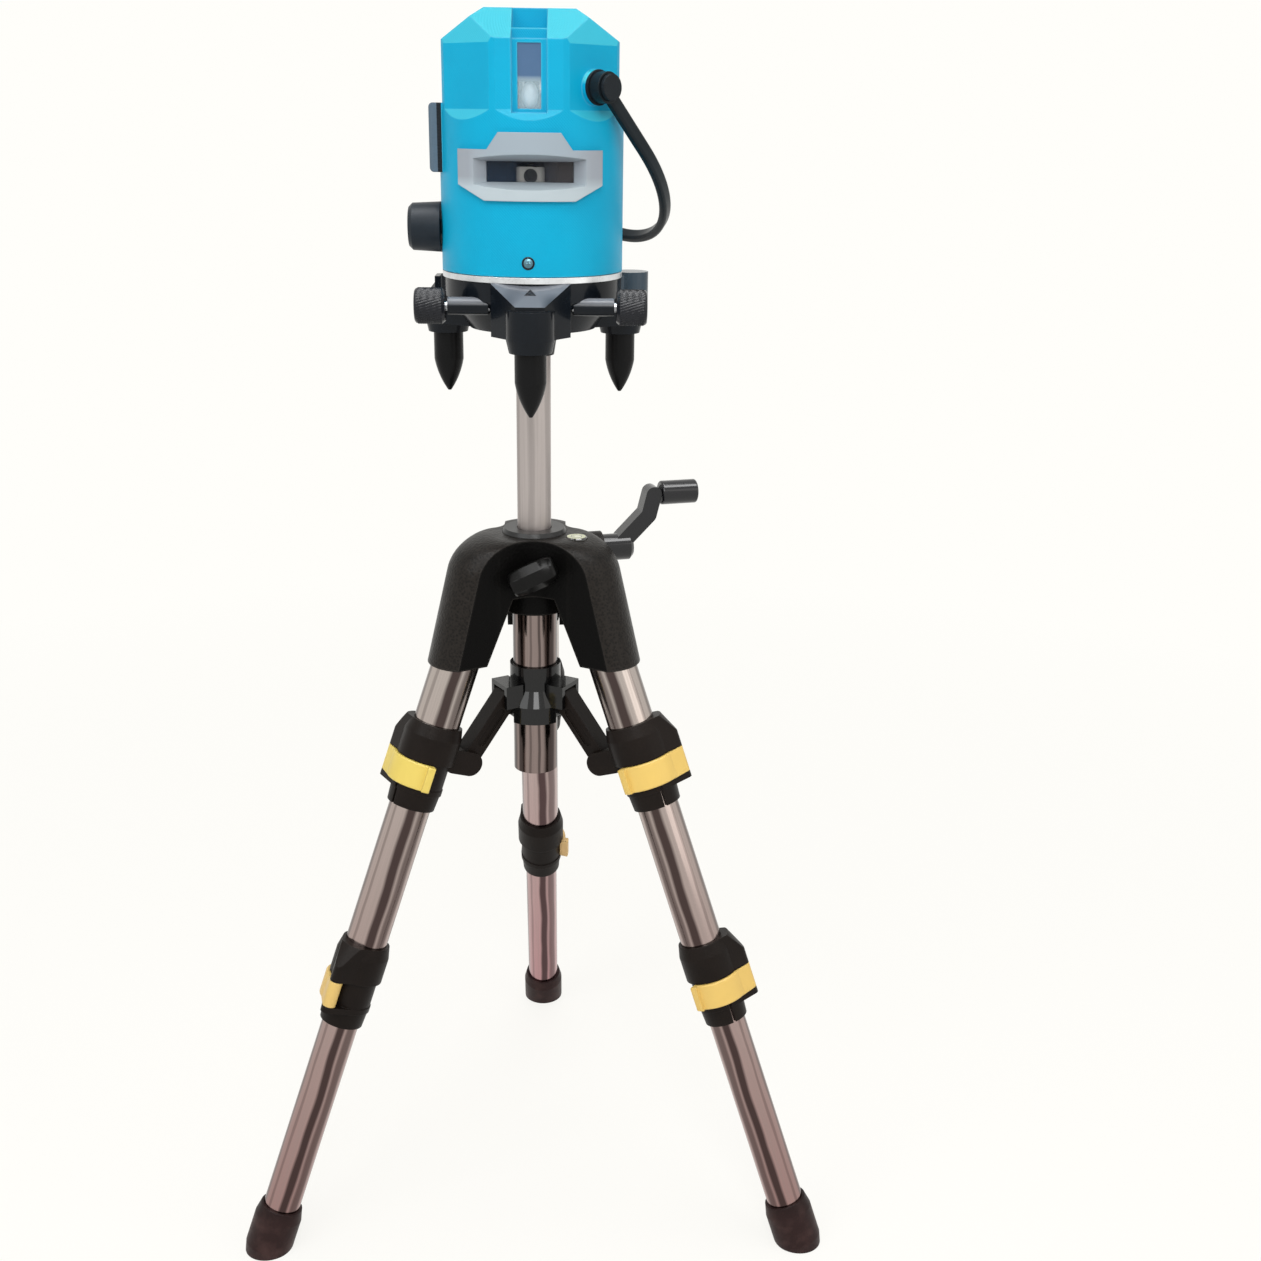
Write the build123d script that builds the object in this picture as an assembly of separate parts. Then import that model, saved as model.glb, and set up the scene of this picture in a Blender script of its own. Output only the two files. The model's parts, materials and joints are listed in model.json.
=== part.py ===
from build123d import *
import math
import os

# Elevating mini tripod that carries a line laser level.
# Millimetres and degrees, +Z up, origin on the floor under the column, the level looks towards -Y.
# A leg has a frame of its own: Z runs down the leg from its pivot and X points outward.

# Clearances
RUNNING_FIT = 0.05
MOVING_GAP = 0.3
END_GAP = 0.5

# Legs: three telescopic tubes each
LEG_NAMES = ("back", "left", "right")
LEG_ANGLE = 20.9
PIVOT_RADIUS = 33.0
PIVOT_PIN_RADIUS = 2.5
TONGUE_RADIUS = 9.0
PLUG_COLLAR = 1.5
PLUG_DEPTH = 10.0
TUBE_WALL = 1.0
UPPER_TUBE_RADIUS = 13.3
UPPER_TUBE_TOP = 11.0
UPPER_TUBE_LENGTH = 111.0
MIDDLE_TRAVEL = 85.0
LOWER_TRAVEL = 119.0
MIDDLE_TUBE_RADIUS = UPPER_TUBE_RADIUS - TUBE_WALL - MOVING_GAP
LOWER_TUBE_RADIUS = MIDDLE_TUBE_RADIUS - TUBE_WALL - MOVING_GAP

# Leg locks: a collar on the end of the larger tube, with a hinged lever band
LOCK_GRIP = 36.0
LOCK_CLAMP = 14.0
LOCK_TOP_WALL = 1.8
LOCK_SLEEVE_WALL = 3.4
LOCK_TOP_TAPER = 7.0
LOCK_GROOVE_WALL = 1.3
LOCK_NECK_WALL = 2.7
LOCK_RIM_WALL = 1.8
LOCK_SLIT = 1.6
BAND_HEIGHT = 15.0
BAND_THICKNESS = 3.4
BAND_NECK = 13.2
LEVER_HINGE_ANGLE = -30.0
LEVER_SWEEP = 137.0
LEVER_BARREL_RADIUS = 3.8
LEVER_BARREL_SET = 1.2
LEVER_PIN_RADIUS = 1.6
LEVER_EAR_SHOULDER = 9.0
LEVER_EAR_TOP_WALL = 4.5
LEVER_LOW_EAR = 3.4
LEVER_SIDE_TURN = -25.0
LEVER_ROOT_SWEEP = 34.0
LEVER_ROOT_RADIUS = 1.2
LEVER_LIP = 2.2
LEVER_LIP_SWEEP = 12.0
LEVER_EDGE = 1.0

# Rubber feet, cut flat by the floor
FOOT_GRIP = 14.0
FOOT_STAND = 27.5
FOOT_WALL = 1.5
FOOT_BULGE = 3.1
FOOT_NOSE = 12.0

# Spreader: hub sliding on the guide tube, one hinged arm to each upper lock
GUIDE_TUBE_RADIUS = 12.8
GUIDE_TUBE_WALL = 1.5
GUIDE_TUBE_DROP = 121.0
HUB_PIVOT_RADIUS = 19.5
HUB_PIVOT_DROP = 72.4
HUB_SLEEVE_WALL = 1.6
HUB_SLEEVE_RISE = 17.5
HUB_NECK_RISE = 3.5
HUB_BAND_DROP = 5.5
HUB_BAND_HEIGHT = 10.0
HUB_BAND_RADIUS = 19.0
HUB_LUG_REACH = 4.3
HUB_LUG_RISE = 8.0
ARM_WIDTH = 12.0
ARM_DEPTH = 10.4
ARM_EYE_RADIUS = 5.2
LUG_EYE_RADIUS = 7.0
ARM_RIB_DEPTH = 1.2
ARM_RIB_WIDTH = 5.0
ARM_PIN_RADIUS = 2.0
ARM_SLOT_PLAY = 0.7
ARM_SLOT_LENGTH = 2.8
ARM_EAR = 3.0
LUG_ALONG_LEG = 105.0
LUG_INSET = 25.0
LUG_WALL = 1.2

# Moulded shoulder with three hoods
SHOULDER_RISE = 23.5
HOOD_HALF_WIDTH = 17.5
HOOD_TOP_REACH = 26.0
HOOD_DOME_REACH = 27.0
HOOD_DOME_HEIGHT = 22.0
HOOD_FLARE = 14.7
HOOD_CROWN = 9.0
HOOD_MOUTH_DROP = 46.0
HOOD_DOME_STEPS = 5
CHEEK_INNER_TOP = 23.3
CHEEK_INNER_TOP_DROP = 9.2
CHEEK_INNER_FOOT = 40.0
ARCH_FILLET = 10.0
PIVOT_PIN_HALF = 16.3
CORE_RADIUS = 19.5
CORE_DROP = 21.0
GUIDE_TUBE_SOCKET = 16.0
CHANNEL_GAP = 0.4

# Centre column with its rack, bush and head
COLUMN_RADIUS = 9.5
COLUMN_WALL = 2.0
COLUMN_TRAVEL = 80.0
COLUMN_PARK = 17.5
COLUMN_ENGAGED = 126.0
BUSH_FLANGE_RADIUS = 18.3
BUSH_FLANGE = 2.5
BUSH_SLEEVE_RADIUS = 14.0
BUSH_SLEEVE = 10.5
END_STOP_HEIGHT = 12.0
END_STOP_PLUG = 8.0
HEAD_HEIGHT = 15.0
HEAD_SOCKET = 7.0
HEAD_TOP_RADIUS = 13.5
HEAD_BOTTOM_RADIUS = 11.4
HEAD_LIP = 2.0
STUD_RADIUS = 7.94
STUD_HEIGHT = 13.0
STUD_SHANK_RADIUS = 6.0
STUD_CHAMFER = 1.0

# Crank, pinion and rack
CRANK_RISE = 7.2
CRANK_AZIMUTH = 15.0
GEAR_MODULE = 0.7
PINION_TEETH = 12
PRESSURE_ANGLE = 20.0
GEAR_BACKLASH = 0.12
PINION_ADDENDUM = 0.6
PINION_DEDENDUM = 0.75
RACK_ADDENDUM = 0.45
RACK_DEDENDUM = 0.8
RACK_TIP = 9.2
RACK_BACK = 6.3
RACK_WIDTH = 5.0
RACK_MARGIN = 8.0
GEAR_POCKET_GAP = 0.4
CRANK_SHAFT_RADIUS = 3.0
CRANK_BOSS_RADIUS = 10.0
CRANK_BOSS_REACH = 43.0
CRANK_HUB_RADIUS = 7.9
CRANK_HUB_LENGTH = 18.3
CRANK_HUB_DOME = 2.0
CRANK_ARM_WIDTH = 10.0
CRANK_ARM_THICKNESS = 9.4
CRANK_FOOT_BACK = 5.2
CRANK_KNEE_REACH = 9.2
CRANK_KNEE_RISE = 19.0
CRANK_RADIUS = 31.0
CRANK_END_REACH = 12.2
CRANK_GRIP_RADIUS = 7.0
CRANK_GRIP_LENGTH = 22.0
CRANK_GRIP_ROUND = 1.2
CRANK_AXLE_RADIUS = 2.5

# Column lock: wing knob on a clamping screw at the front
WING_RISE = 6.5
WING_SCREW_RADIUS = 3.0
WING_HUB_RADIUS = 6.0
WING_START = 32.0
WING_DEPTH = 10.0
WING_LENGTH = 27.0
WING_HEIGHT = 15.0
WING_TILT = -25.0
WING_ROUND = 4.0
WING_CHEEK = 5.0
WING_RIDGE_DROP = 3.2

# Round bubble vial in the top of the right hood
SHOULDER_VIAL_LEG = "right"
SHOULDER_VIAL_SEAT = 27.5
SHOULDER_VIAL_RADIUS = 6.0
SHOULDER_VIAL_DEPTH = 5.0
SHOULDER_VIAL_PROUD = 0.6

# Level base: tribrach with a worm drive, heights from the mounting face
BASE_FOOT_RADIUS = 34.0
BASE_WAIST_RADIUS = 41.0
BASE_WAIST_HEIGHT = 10.0
BASE_BAND_SET_IN = 1.0
BASE_BAND_BOTTOM = 17.0
BASE_HEIGHT = 27.0
BASE_FLOOR = 7.0
BASE_BOSS_RADIUS = 12.0
BASE_BOSS_HEIGHT = 21.0
STUD_TIP_GAP = 1.0
FOOT_CIRCLE = 55.6
FOOT_NAMES = ("front", "right", "left")
FOOT_BOSS_RADIUS = 12.5
FOOT_BOSS_TOP = 15.0
FOOT_BOSS_DROP = 6.5
FOOT_BOSS_TAPER = 1.5
WEDGE_ROOT_WIDTH = 41.0
WEDGE_TIP_WIDTH = 15.0
WEDGE_ROOT_REACH = 45.0
WEDGE_TIP_REACH = 62.0
WEDGE_SLOPE_REACH = 45.0
WEDGE_SLOPE_DROP = 10.0
SCREW_FOOT_RADIUS = 8.2
SCREW_FOOT_BODY = 15.0
SCREW_FOOT_NOSE = 17.9
SCREW_FOOT_NOSE_BELLY = 5.7
SCREW_FOOT_TIP = 0.9
SCREW_FOOT_SHANK = 4.0
SCREW_FOOT_SHANK_LENGTH = 14.0
SIDE_VIAL_X = 53.5
SIDE_VIAL_Y = 18.0
SIDE_VIAL_RADIUS = 9.5
SIDE_VIAL_BOTTOM = 11.0
SIDE_VIAL_TOP = 28.0
SIDE_LUG_REACH = 53.5
SIDE_LUG_WIDTH = 16.0
SIDE_LUG_BOTTOM = 13.0
SIDE_LUG_TOP = 25.0

# Worm drive of the level base
WORM_DISTANCE = 36.0
WORM_HEIGHT = 14.5
WORM_RADIUS = 3.8
WORM_LENGTH = 18.0
WORM_SHAFT_RADIUS = 2.5
WORM_POCKET_GAP = 1.2
WHEEL_TEETH = 60
WHEEL_TIP_RADIUS = 31.7
WHEEL_TOOTH_DEPTH = 1.2
WHEEL_CAVITY_GAP = 1.8
BARREL_RADIUS = 4.6
BARREL_START = 22.0
BARREL_END = 43.0
TANGENT_KNOB_START = 44.2
TANGENT_KNOB_LENGTH = 16.0
TANGENT_KNOB_RADIUS = 9.3
TANGENT_KNOB_FLUTES = 24
TANGENT_KNOB_FLUTE_DEPTH = 0.6
TANGENT_KNOB_CHAMFER = 1.0
RING_BORE = 34.0
RING_HEIGHT = 3.0

# Level housing
HOUSING_RADIUS = 48.0
HOUSING_SIDES = 4
HOUSING_TOP = 159.0
HOUSING_WALL = 8.5
HOUSING_FLOOR = 6.0
HOUSING_ROOF = 12.0
CAVITY_STEP_DROP = 9.0
CAVITY_STEP_WALL = 12.0
SPIGOT_RADIUS = 24.0
FACET_DROP = 15.0
FACET_SET_IN = 25.0
FLAT_DEPTH = 3.0
FLAT_DROP = 48.0
FLAT_RUN_OUT = 5.0
CORNER_FACET_DROP = 17.0
CORNER_SET_IN = 7.5
LINE_SLOT_HALF = 8.8
LINE_SLOT_DEPTH = 5.5
LINE_SLOT_DROP = 49.5
LINE_GLASS_HALF = 5.8
LINE_GLASS_SILL = 2.0
LINE_GLASS_HEIGHT = 30.5
LINE_GLASS_THICKNESS = 1.5
LINE_GLASS_SET = 0.5
LINE_CHANNEL_WALL = 2.0
LINE_CHANNEL_RUN = 1.0

# Front window bezel and its glass
BEZEL_PROUD = 2.6
BEZEL_HALF = 36.5
BEZEL_TAB_HALF = 15.6
BEZEL_TAB_FOOT_HALF = 21.5
BEZEL_KEEL_HALF = 23.0
BEZEL_BOTTOM = 67.6
BEZEL_SIDE_BOTTOM = 75.0
BEZEL_SIDE_TOP = 92.1
BEZEL_TOP = 100.4
RECESS_HALF = 39.7
RECESS_BOTTOM = 72.9
RECESS_TOP = 89.9
WINDOW_HALF = 21.8
WINDOW_BOTTOM = 76.4
WINDOW_TOP = 86.4
TUNNEL_WALL = 6.0
TUNNEL_SILL = 3.4
TUNNEL_DEPTH = 14.0
WINDOW_GLASS_DEPTH = 11.0
WINDOW_GLASS_THICKNESS = 1.5
WINDOW_GLASS_REBATE = 1.6

# Power knob and battery cover on the left of the housing
POWER_KNOB_HEIGHT = 51.7
POWER_KNOB_RADIUS = 13.0
POWER_KNOB_TIP_RADIUS = 12.2
POWER_KNOB_LENGTH = 17.0
POWER_KNOB_ROUND = 2.0
POWER_SHAFT_RADIUS = 4.0
POWER_SHAFT_LENGTH = 6.0
COVER_PROUD = 4.5
COVER_WIDTH = 30.0
COVER_BOTTOM = 80.0
COVER_TOP = 114.0
COVER_ROUND = 2.5

# Carrying bail on the front-right and back-left corners
BAIL_AZIMUTH = -45.0
BAIL_HEIGHT = 122.0
BAIL_LEAN = 45.0
BAIL_PIVOT_PROUD = 4.5
BAIL_STRAIGHT = 42.0
BAIL_BOW = 68.0
BAIL_WIDTH = 7.0
BAIL_THICKNESS = 4.6
BAIL_EDGE = 1.6
BAIL_EYE_RADIUS = 7.6
BAIL_EYE_THICKNESS = 6.4
BAIL_PIN_RADIUS = 4.0
BAIL_FLANGE_RADIUS = 8.6
BAIL_CAP_RADIUS = 6.4
BAIL_CAP_THICKNESS = 2.2

# Self-levelling pendulum on a gimbal ring
GIMBAL_DROP = 10.0
GIMBAL_OUTER = 13.0
GIMBAL_INNER = 10.0
GIMBAL_RING = 5.0
GIMBAL_PIN_RADIUS = 1.2
GIMBAL_PIN_REACH = 17.0
HANGER_GAP = 1.0
HANGER_THICKNESS = 4.0
HANGER_WIDTH = 8.0
HANGER_DROP = 3.5
POST_RADIUS = 4.0
POST_TOP_RISE = 3.5
CROSS_DROP = 22.0
CROSS_RADIUS = 4.4
CROSS_END_GAP = 4.0
EMITTER_WINDOW_DROP = 2.2
EMITTER_RADIUS = 5.0
EMITTER_END_GAP = 6.0
EMITTER_BORE = 2.6
EMITTER_BORE_DEPTH = 3.0
CARRIER_WIDTH = 26.0
CARRIER_HEIGHT = 20.0
WEIGHT_RADIUS = 20.0
WEIGHT_BOTTOM = 44.0
WEIGHT_HEIGHT = 17.0

# Heights and places worked out from the sizes above
RIGHT_ANGLE = 90.0
STRAIGHT_ANGLE = 2 * RIGHT_ANGLE
LEG_SECTOR_ANGLE = 2 * STRAIGHT_ANGLE / len(LEG_NAMES)
FOOT_SECTOR_ANGLE = 2 * STRAIGHT_ANGLE / len(FOOT_NAMES)
LEG_AZIMUTHS = {leg: RIGHT_ANGLE + LEG_SECTOR_ANGLE * place for place, leg in enumerate(LEG_NAMES)}
FOOT_AZIMUTHS = {foot: FOOT_SECTOR_ANGLE * place - RIGHT_ANGLE for place, foot in enumerate(FOOT_NAMES)}
FAR = 200.0
BEYOND_LEGS = 3 * FAR
LEAN_SIN = math.sin(math.radians(LEG_ANGLE))
LEAN_COS = math.cos(math.radians(LEG_ANGLE))
UPPER_TUBE_END = UPPER_TUBE_TOP + UPPER_TUBE_LENGTH
UPPER_LOCK_TOP = UPPER_TUBE_END - LOCK_GRIP
UPPER_LOCK_END = UPPER_TUBE_END + LOCK_CLAMP
PLUG_END = UPPER_TUBE_TOP + PLUG_DEPTH
MIDDLE_TUBE_TOP = PLUG_END + END_GAP + MIDDLE_TRAVEL
LOWER_LOCK_TOP = UPPER_LOCK_END + END_GAP + MIDDLE_TRAVEL
MIDDLE_TUBE_END = LOWER_LOCK_TOP + LOCK_GRIP
LOWER_LOCK_END = MIDDLE_TUBE_END + LOCK_CLAMP
LOWER_TUBE_TOP = MIDDLE_TUBE_TOP + END_GAP + LOWER_TRAVEL
FOOT_TOP = LOWER_LOCK_END + END_GAP + LOWER_TRAVEL
LOWER_TUBE_END = FOOT_TOP + FOOT_GRIP
PIVOT_HEIGHT = (FOOT_TOP + FOOT_STAND) * LEAN_COS
SHOULDER_TOP = PIVOT_HEIGHT + SHOULDER_RISE
HOOD_SLOPE = math.tan(math.radians(HOOD_FLARE))
HOOD_DOME_END = math.atan2(HOOD_DOME_REACH, HOOD_DOME_HEIGHT * HOOD_SLOPE)
HOOD_DOME_DEPTH = HOOD_DOME_HEIGHT * (1 - math.cos(HOOD_DOME_END))
HOOD_SKIRT_DEPTH = SHOULDER_RISE + HOOD_MOUTH_DROP
CORE_BOTTOM = PIVOT_HEIGHT - CORE_DROP
CHANNEL_HALF = UPPER_TUBE_RADIUS + CHANNEL_GAP
COLUMN_BORE = COLUMN_RADIUS + MOVING_GAP
BUSH_TOP = SHOULDER_TOP + BUSH_FLANGE
HEAD_BOTTOM = BUSH_TOP + COLUMN_PARK + COLUMN_TRAVEL
MOUNT_HEIGHT = HEAD_BOTTOM + HEAD_HEIGHT
COLUMN_BOTTOM = BUSH_TOP - COLUMN_ENGAGED
COLUMN_TOP = HEAD_BOTTOM + HEAD_SOCKET
HUB_PIVOT_HEIGHT = PIVOT_HEIGHT - HUB_PIVOT_DROP
LUG_RADIUS = PIVOT_RADIUS + LUG_ALONG_LEG * LEAN_SIN - LUG_INSET * LEAN_COS
LUG_HEIGHT = PIVOT_HEIGHT - LUG_ALONG_LEG * LEAN_COS - LUG_INSET * LEAN_SIN
ARM_GAP_HALF = ARM_WIDTH / 2 + CHANNEL_GAP
CRANK_HEIGHT = PIVOT_HEIGHT + CRANK_RISE
PINION_PITCH_RADIUS = GEAR_MODULE * PINION_TEETH / 2
PINION_LENGTH = RACK_WIDTH - 2 * MOVING_GAP
GEAR_PITCH = math.pi * GEAR_MODULE
RACK_PITCH_LINE = RACK_TIP - RACK_ADDENDUM
CRANK_OFFSET = RACK_PITCH_LINE + PINION_PITCH_RADIUS
CRANK_HUB_START = CRANK_BOSS_REACH + MOVING_GAP
CRANK_HUB_END = CRANK_HUB_START + CRANK_HUB_LENGTH
CRANK_GRIP_START = CRANK_HUB_END + CRANK_END_REACH + CRANK_ARM_THICKNESS / 2 + MOVING_GAP
CRANK_GRIP_END = CRANK_GRIP_START + CRANK_GRIP_LENGTH
CRANK_AXLE_END = CRANK_GRIP_END - CRANK_GRIP_RADIUS / 2
WING_HEIGHT_ABOVE_FLOOR = PIVOT_HEIGHT + WING_RISE
HALF_SECTOR = math.radians(LEG_SECTOR_ANGLE / 2)
ARCH_MEETING = HOOD_HALF_WIDTH / math.sin(HALF_SECTOR)
WING_HUB_START = ARCH_MEETING + WING_HUB_RADIUS / math.tan(HALF_SECTOR) + END_GAP
RING_TOP = BASE_HEIGHT + RING_HEIGHT
HOUSING_BOTTOM = RING_TOP + MOVING_GAP
CAVITY_RADIUS = HOUSING_RADIUS - HOUSING_WALL
CAVITY_TOP = HOUSING_TOP - HOUSING_ROOF
CAVITY_STEP = CAVITY_TOP - CAVITY_STEP_DROP
CAVITY_TOP_RADIUS = HOUSING_RADIUS - CAVITY_STEP_WALL
RING_RADIUS = HOUSING_RADIUS
BASE_BAND_RADIUS = RING_RADIUS - BASE_BAND_SET_IN
FACET_FOOT_HEIGHT = HOUSING_TOP - FACET_DROP
FACET_TOP_HALF = HOUSING_RADIUS - FACET_SET_IN
FLAT_DISTANCE = HOUSING_RADIUS - FLAT_DEPTH
FLAT_BOTTOM = HOUSING_TOP - FLAT_DROP
CORNER_FACET_HEIGHT = HOUSING_TOP - CORNER_FACET_DROP
CORNER_TOP_HALF = HOUSING_RADIUS - CORNER_SET_IN
LINE_SLOT_FLOOR = HOUSING_RADIUS - LINE_SLOT_DEPTH
LINE_SLOT_BOTTOM = HOUSING_TOP - LINE_SLOT_DROP
LINE_GLASS_BOTTOM = LINE_SLOT_BOTTOM + LINE_GLASS_SILL
TUNNEL_BACK = HOUSING_RADIUS - TUNNEL_DEPTH
WINDOW_GLASS_FRONT = HOUSING_RADIUS - WINDOW_GLASS_DEPTH
COVER_REACH = HOUSING_RADIUS + COVER_PROUD
BAIL_HALF_WIDTH = HOUSING_RADIUS + BAIL_PIVOT_PROUD
GIMBAL_HEIGHT = CAVITY_TOP - GIMBAL_DROP
CROSS_HEIGHT = GIMBAL_HEIGHT - CROSS_DROP
CROSS_REACH = CAVITY_TOP_RADIUS - CROSS_END_GAP
EMITTER_HEIGHT = (WINDOW_BOTTOM + WINDOW_TOP) / 2 - EMITTER_WINDOW_DROP
EMITTER_REACH = TUNNEL_BACK - EMITTER_END_GAP
WHEEL_BOTTOM = BASE_FLOOR + MOVING_GAP
WHEEL_TOP = 2 * WORM_HEIGHT - WHEEL_BOTTOM
WHEEL_CAVITY = WHEEL_TIP_RADIUS + WHEEL_CAVITY_GAP
FOOT_BOSS_BOTTOM = -FOOT_BOSS_DROP
SCREW_FOOT_TOP = FOOT_BOSS_BOTTOM - MOVING_GAP
SCREW_FOOT_SHANK_TOP = SCREW_FOOT_TOP + SCREW_FOOT_SHANK_LENGTH


def rod(radius, start, end):
    """Cylinder along Z between two heights."""
    return Pos(0, 0, start) * Cylinder(radius, end - start, align=(Align.CENTER, Align.CENTER, Align.MIN))


def pipe(outer, inner, start, end):
    """Tube along Z between two heights."""
    return rod(outer, start, end) - rod(inner, start, end)


def slab(x0, x1, y0, y1, z0, z1):
    """Box between two corners."""
    middle = Pos((x0 + x1) / 2, (y0 + y1) / 2, (z0 + z1) / 2)
    return middle * Box(x1 - x0, y1 - y0, z1 - z0)


def outline(points):
    """Flat face with straight sides."""
    return make_face(Polyline(*points, close=True))


def turned(points):
    """Solid of revolution about Z from (radius, height) corners."""
    return revolve(Plane.XZ * outline(points), Axis.Z)


def side_plate(face, half_width):
    """Plate from an (x, z) face, centred on y = 0."""
    return extrude(Plane.XZ * face, amount=half_width, both=True)


def bar(start, end, radius):
    """Flat bar outline with round ends between two points."""
    gap = math.dist(start, end)
    angle = math.degrees(math.atan2(end[1] - start[1], end[0] - start[0]))
    middle = Pos((start[0] + end[0]) / 2, (start[1] + end[1]) / 2)
    return middle * Rot(0, 0, angle) * SlotCenterToCenter(gap, 2 * radius)


def dot(centre, radius):
    """Round outline at a point."""
    return Pos(centre[0], centre[1]) * Circle(radius)


def along_x(shape):
    """Turn a shape drawn along Z so that it lies along X."""
    return Rot(0, RIGHT_ANGLE, 0) * shape


def along_y(shape):
    """Turn a shape drawn along Z so that it lies along Y."""
    return Rot(-RIGHT_ANGLE, 0, 0) * shape


def toward(azimuth, shape):
    """Turn a shape drawn in the X-Z plane to an azimuth about the column."""
    return Rot(0, 0, azimuth) * shape


def on_leg(azimuth, shape):
    """Place a shape drawn in the leg frame."""
    angle = math.radians(azimuth)
    radial = Vector(math.cos(angle), math.sin(angle), 0)
    up = Vector(0, 0, 1)
    frame = Plane(
        origin=radial * PIVOT_RADIUS + up * PIVOT_HEIGHT,
        x_dir=radial * LEAN_COS + up * LEAN_SIN,
        z_dir=radial * LEAN_SIN - up * LEAN_COS,
    )
    return frame.location * shape


def on_crank(shape):
    """Place a shape drawn along the crank axis, X outward, Z up."""
    return Rot(0, 0, CRANK_AZIMUTH) * Pos(0, CRANK_OFFSET, CRANK_HEIGHT) * shape


def on_mount(shape):
    """Place a shape drawn from the mounting face of the level."""
    return Pos(0, 0, MOUNT_HEIGHT) * shape


# Legs


def leg_joint():
    """Moulded plug in the top of the leg, with the pivot tongue."""
    tongue_face = dot((0, 0), TONGUE_RADIUS) + Pos(0, UPPER_TUBE_TOP / 2) * Rectangle(
        2 * TONGUE_RADIUS, UPPER_TUBE_TOP
    )
    tongue = side_plate(tongue_face, UPPER_TUBE_RADIUS)
    tongue &= rod(UPPER_TUBE_RADIUS, -FAR, FAR)
    collar = rod(UPPER_TUBE_RADIUS, UPPER_TUBE_TOP - PLUG_COLLAR, UPPER_TUBE_TOP)
    spigot = rod(UPPER_TUBE_RADIUS - TUBE_WALL, UPPER_TUBE_TOP, PLUG_END)
    hole = along_y(rod(PIVOT_PIN_RADIUS + RUNNING_FIT, -FAR, FAR))
    return tongue + collar + spigot - hole


def leg_tube(radius, top, end):
    """One drawn tube of a leg."""
    return pipe(radius, radius - TUBE_WALL, top, end)


def groove_radius(outer):
    """Radius of the collar under the lever band."""
    return outer + LOCK_GROOVE_WALL


def hinge_radius(outer):
    """Distance of the lever pin from the leg's axis."""
    return groove_radius(outer) + CHANNEL_GAP + LEVER_BARREL_SET + LEVER_BARREL_RADIUS


def at_lever_pin(outer, shape):
    """Place a shape drawn along Z on the lever pin."""
    return Rot(0, 0, LEVER_HINGE_ANGLE) * Pos(hinge_radius(outer), 0, 0) * shape


def teardrop(round_end, reach, point_end):
    """Outline round two circles, one on the axis and one at a reach along X."""
    return make_hull(Circle(round_end).edges() + (Pos(reach, 0) * Circle(point_end)).edges())


def lever_ear(outer, start, end):
    """Ear that carries the lever pin, flowing out of the collar."""
    plan = teardrop(outer + LOCK_TOP_WALL, hinge_radius(outer), LEVER_BARREL_RADIUS)
    ear = Pos(0, 0, start) * extrude(plan, amount=end - start)
    return Rot(0, 0, LEVER_HINGE_ANGLE) * ear


def ear_taper(outer, top, end):
    """Cone that trims the upper ear down to the collar's top."""
    reach = hinge_radius(outer) + LEVER_BARREL_RADIUS
    return turned(
        [
            (0, top),
            (outer + LEVER_EAR_TOP_WALL, top),
            (reach, end - LEVER_EAR_SHOULDER),
            (reach, end),
            (0, end),
        ]
    )


def lock_collar(top, outer, inner):
    """Clamp collar with its lever ears and pin."""
    end = top + LOCK_GRIP + LOCK_CLAMP
    band_end = end - BAND_NECK
    band_top = band_end - BAND_HEIGHT
    groove = groove_radius(outer)
    body = turned(
        [
            (0, top),
            (outer + LOCK_TOP_WALL, top),
            (outer + LOCK_SLEEVE_WALL, top + LOCK_TOP_TAPER),
            (outer + LOCK_SLEEVE_WALL, band_top - MOVING_GAP),
            (groove, band_top - MOVING_GAP),
            (groove, band_end + MOVING_GAP),
            (inner + LOCK_NECK_WALL, band_end + MOVING_GAP),
            (inner + LOCK_RIM_WALL, end),
            (0, end),
        ]
    )
    body += lever_ear(outer, top, band_top - MOVING_GAP) & ear_taper(outer, top, band_top - MOVING_GAP)
    body += lever_ear(outer, band_end + MOVING_GAP, band_end + MOVING_GAP + LEVER_LOW_EAR)
    body += at_lever_pin(outer, rod(LEVER_PIN_RADIUS, band_top - LEVER_LOW_EAR, band_end + LEVER_LOW_EAR))
    body -= rod(outer, top, top + LOCK_GRIP)
    body -= rod(inner + MOVING_GAP, top + LOCK_GRIP, end)
    slit = slab(0, 2 * outer, -LOCK_SLIT / 2, LOCK_SLIT / 2, top + LOCK_GRIP, end)
    return body - Rot(0, 0, LEVER_HINGE_ANGLE + LEVER_SWEEP / 2) * slit


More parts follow.
